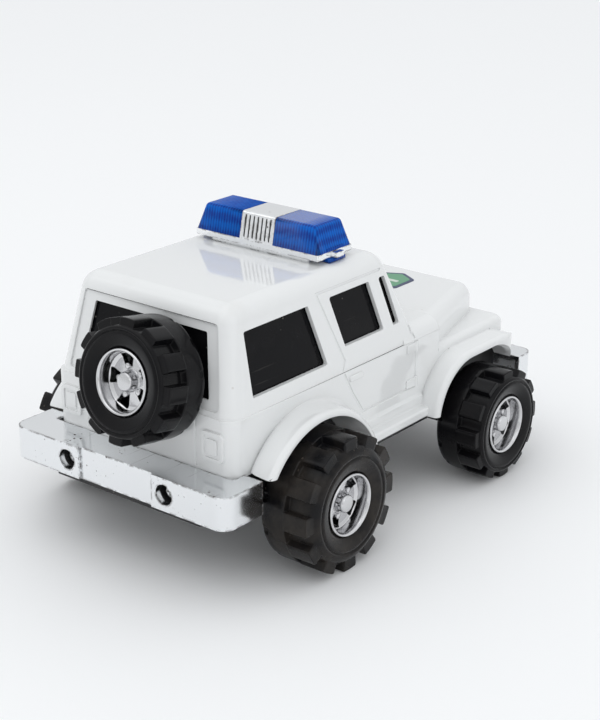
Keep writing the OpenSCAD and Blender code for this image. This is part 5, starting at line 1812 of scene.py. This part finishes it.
@dataclass
class Grille:
    """Slotted grille with two headlamps in the nose."""

    slots: int = 9
    lamp_r: float = 4.4
    slot_share: float = 0.55
    plate_t: float = 1.8
    plate_r: float = 0.8
    slot_r: float = 0.6
    slot_floor: float = 0.6

    def build(self) -> None:
        """Builds the plate and the lamps."""
        low, high = CAR.box("grille")
        mid, half = (low.z + high.z) / 2, high.y
        face = low.x + self.plate_t
        plate = Solid.plate((-half, low.z, half, high.z), self.plate_r, Along.X, (low.x, face))
        r = self.lamp_r
        lamp_y, span = half - 2 * r, 2 * half - 8 * r
        pitch = span / self.slots
        w = pitch * self.slot_share / 2
        cuts = []
        for i in range(self.slots):
            y = -span / 2 + pitch * (i + 0.5)
            run = (low.x + self.slot_floor, face + 1)
            cuts.append(Solid.plate((y - w, mid - r, y + w, mid + r), self.slot_r, Along.X, run))
        plate = plate.cut(*cuts)
        reach = high.x - face
        lamp = Solid.lathe([
            (0, -0.5), (r, -0.5), (r, reach * 0.7), (r - 0.3, reach), (r - 0.8, reach),
            (r - 1.1, reach * 0.5), (r * 0.5, reach * 0.85), (0, reach)], 48)
        turn = Matrix.Rotation(math.pi / 2, 4, "Y")
        lamps = [lamp.moved(Matrix.Translation((face, s.value * lamp_y, mid)) @ turn) for s in Side]
        Piece("grille_slotted", plate.united(*lamps), "car", BUMPER_METAL, ("grille",), 0.15, 2).build()


@dataclass
class Sticker:
    """Plain five-sided sticker on the bonnet: border, field and a band."""

    border: float = 1.6
    rounds: tuple[float, ...] = (1.6, 2.2, 1.6, 2.2, 1.6)
    band_back: float = 1.5
    band_half: Point = (1.1, 4.4)
    band_r: float = 0.5

    def outline(self, inset: float) -> list[Point]:
        """The sticker's shape, drawn in."""
        low, high = CAR.box("bonnet_badge")
        x, half = (low.x + high.x) / 2, (high.y - low.y) / 2 - inset
        length = (high.x - low.x) / 2 - inset
        back, turn = x - length, x + length / 2
        points = [(back, -half), (turn, -half), (x + length, 0.0), (turn, half), (back, half)]
        return rounded(points, self.rounds, 5)

    def build(self) -> None:
        """Builds the three layers."""
        low, high = CAR.box("bonnet_badge")
        t, x, (u, v) = high.z - low.z, (low.x + high.x) / 2 - self.band_back, self.band_half
        band = rounded(rectangle(x - u, -v, x + u, v), self.band_r, 3)
        layers = (
            ("border", self.outline(0), (0.0, 0.6), STICKER_BLUE, ("bonnet_badge",), 0.04),
            ("field", self.outline(self.border), (0.4, 0.8), STICKER_GREEN, (), 0.04),
            ("band", band, (0.6, 1.0), STICKER_PALE, (), 0.03))
        for name, outline, shares, finish, nodes, edge in layers:
            bottom, top = (low.z + t * share for share in shares)
            Piece(
                f"sticker_{name}", Solid.prism(outline, Along.Z, bottom, top), "car", finish, nodes, edge,
                1).build()


@dataclass
class PlainNodes:
    """CAD nodes that are shown as they are, with rounded edges and a finish."""

    dressed: tuple[tuple[str, Finish, float], ...] = (
        ("window_liner", WINDOW_BLACK, 0.0), ("chassis", CHASSIS_BLACK, 0.3),
        ("spare_spigot", CHASSIS_BLACK, 0.2),
        ("rear_axle", AXLE_STEEL, 0.3), ("front_axle", AXLE_STEEL, 0.3), ("body_screws", SCREW_STEEL, 0.15),
        ("light_bar_screws", SCREW_STEEL, 0.15), ("spare_screw", SCREW_STEEL, 0.15),
    )

    def build(self) -> None:
        """Dresses the nodes."""
        for name, finish, edge in self.dressed:
            node = frame["nodes"][name]
            node.modifiers.new("split_weld", "WELD").merge_threshold = SPLIT_WELD
            soften(node, edge, 2)
            node.data.materials.clear()
            node.data.materials.append(finish.material())
            log.info("%s dressed", name)


# Stage


@dataclass
class Studio:
    """Pale floor, soft lamps and the camera."""

    focal: float = 81.7
    sensor: float = 36.0
    camera_at: Triple = (-406.03, -370.17, 270.79)
    azimuth: float = 38.86
    elevation: float = 20.79
    floor_half: float = 3.0
    floor_colour: Colour = (0.96, 0.965, 0.97)
    sky: Colour = (0.97, 0.985, 1.0)
    sky_strengths: Point = (0.75, 0.98)
    sky_heights: Point = (0.3, 0.75)
    lamps: tuple[tuple[str, Triple, float, float], ...] = (
        ("top_lamp", (-0.35, 0.25, 1.1), 1.1, 1.6), ("side_lamp", (-0.3, -1.1, 0.6), 0.9, 0.8))

    def build(self) -> None:
        """Sets up floor, light and camera."""
        scene = bpy.context.scene
        scene.view_settings.view_transform = "Standard"
        self.floor()
        self.light()
        camera = bpy.data.cameras.new("camera")
        camera.lens, camera.sensor_width = self.focal, self.sensor
        held = bpy.data.objects.new("camera", camera)
        scene.collection.objects.link(held)
        a, e = math.radians(self.azimuth), math.radians(self.elevation)
        ahead = Vector((math.cos(a) * math.cos(e), math.sin(a) * math.cos(e), -math.sin(e)))
        held.location = CAR.into @ Vector(self.camera_at)
        held.rotation_euler = ahead.to_track_quat("-Z", "Y").to_euler()
        scene.camera = held

    def floor(self) -> None:
        """Large pale floor."""
        mesh = bpy.data.meshes.new("floor")
        h = self.floor_half
        mesh.from_pydata([(-h, -h, 0), (h, -h, 0), (h, h, 0), (-h, h, 0)], [], [(0, 1, 2, 3)])
        made = bpy.data.objects.new("floor", mesh)
        bpy.context.scene.collection.objects.link(made)
        finish = Finish("floor_paper", "", self.floor_colour, roughness=0.6)
        mesh.materials.append(finish.material())
        made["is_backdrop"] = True

    def light(self) -> None:
        """Surroundings that are brighter overhead, with two large lamps."""
        world = bpy.data.worlds.new("surroundings")
        bpy.context.scene.world = world
        world.use_nodes = True
        graph = Graph(world.node_tree)
        back = world.node_tree.nodes["Background"]
        back.inputs["Color"].default_value = (*self.sky, 1.0)
        split = graph.add("ShaderNodeSeparateXYZ")
        graph.link(graph.add("ShaderNodeTexCoord").outputs["Generated"], split.inputs[0])
        graph.link(
            graph.ramp(split.outputs["Z"], *self.sky_heights, self.sky_strengths), back.inputs["Strength"])
        for name, at, size, power in self.lamps:
            lamp = bpy.data.lights.new(name, "AREA")
            lamp.size, lamp.energy = size, power
            held = bpy.data.objects.new(name, lamp)
            held.location = at
            held.rotation_euler = (-Vector(at)).to_track_quat("-Z", "Y").to_euler()
            bpy.context.scene.collection.objects.link(held)


def main() -> None:
    """Builds the car piece by piece, then the studio, and works out both boxes."""
    rear = Bumper("rear_bumper", outward=-1, wing=5.6, middle_d=1.0, lip=(-30.0, 41.0))
    front = Bumper("front_bumper", outward=1, wing=3.0, middle_d=0.0)
    for part in (
            BodyShell(), rear, front, LightBar(), Grille(), Sticker(), Wheels(), PlainNodes(), Studio()):
        part.build()
        log.info("%s done", type(part).__name__)
    boxes = {"cad": CAR.cad_box, "visual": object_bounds()}
    {k: [list(corner) for corner in v] for k, v in boxes.items()}


if __name__ == "__main__":
    main()
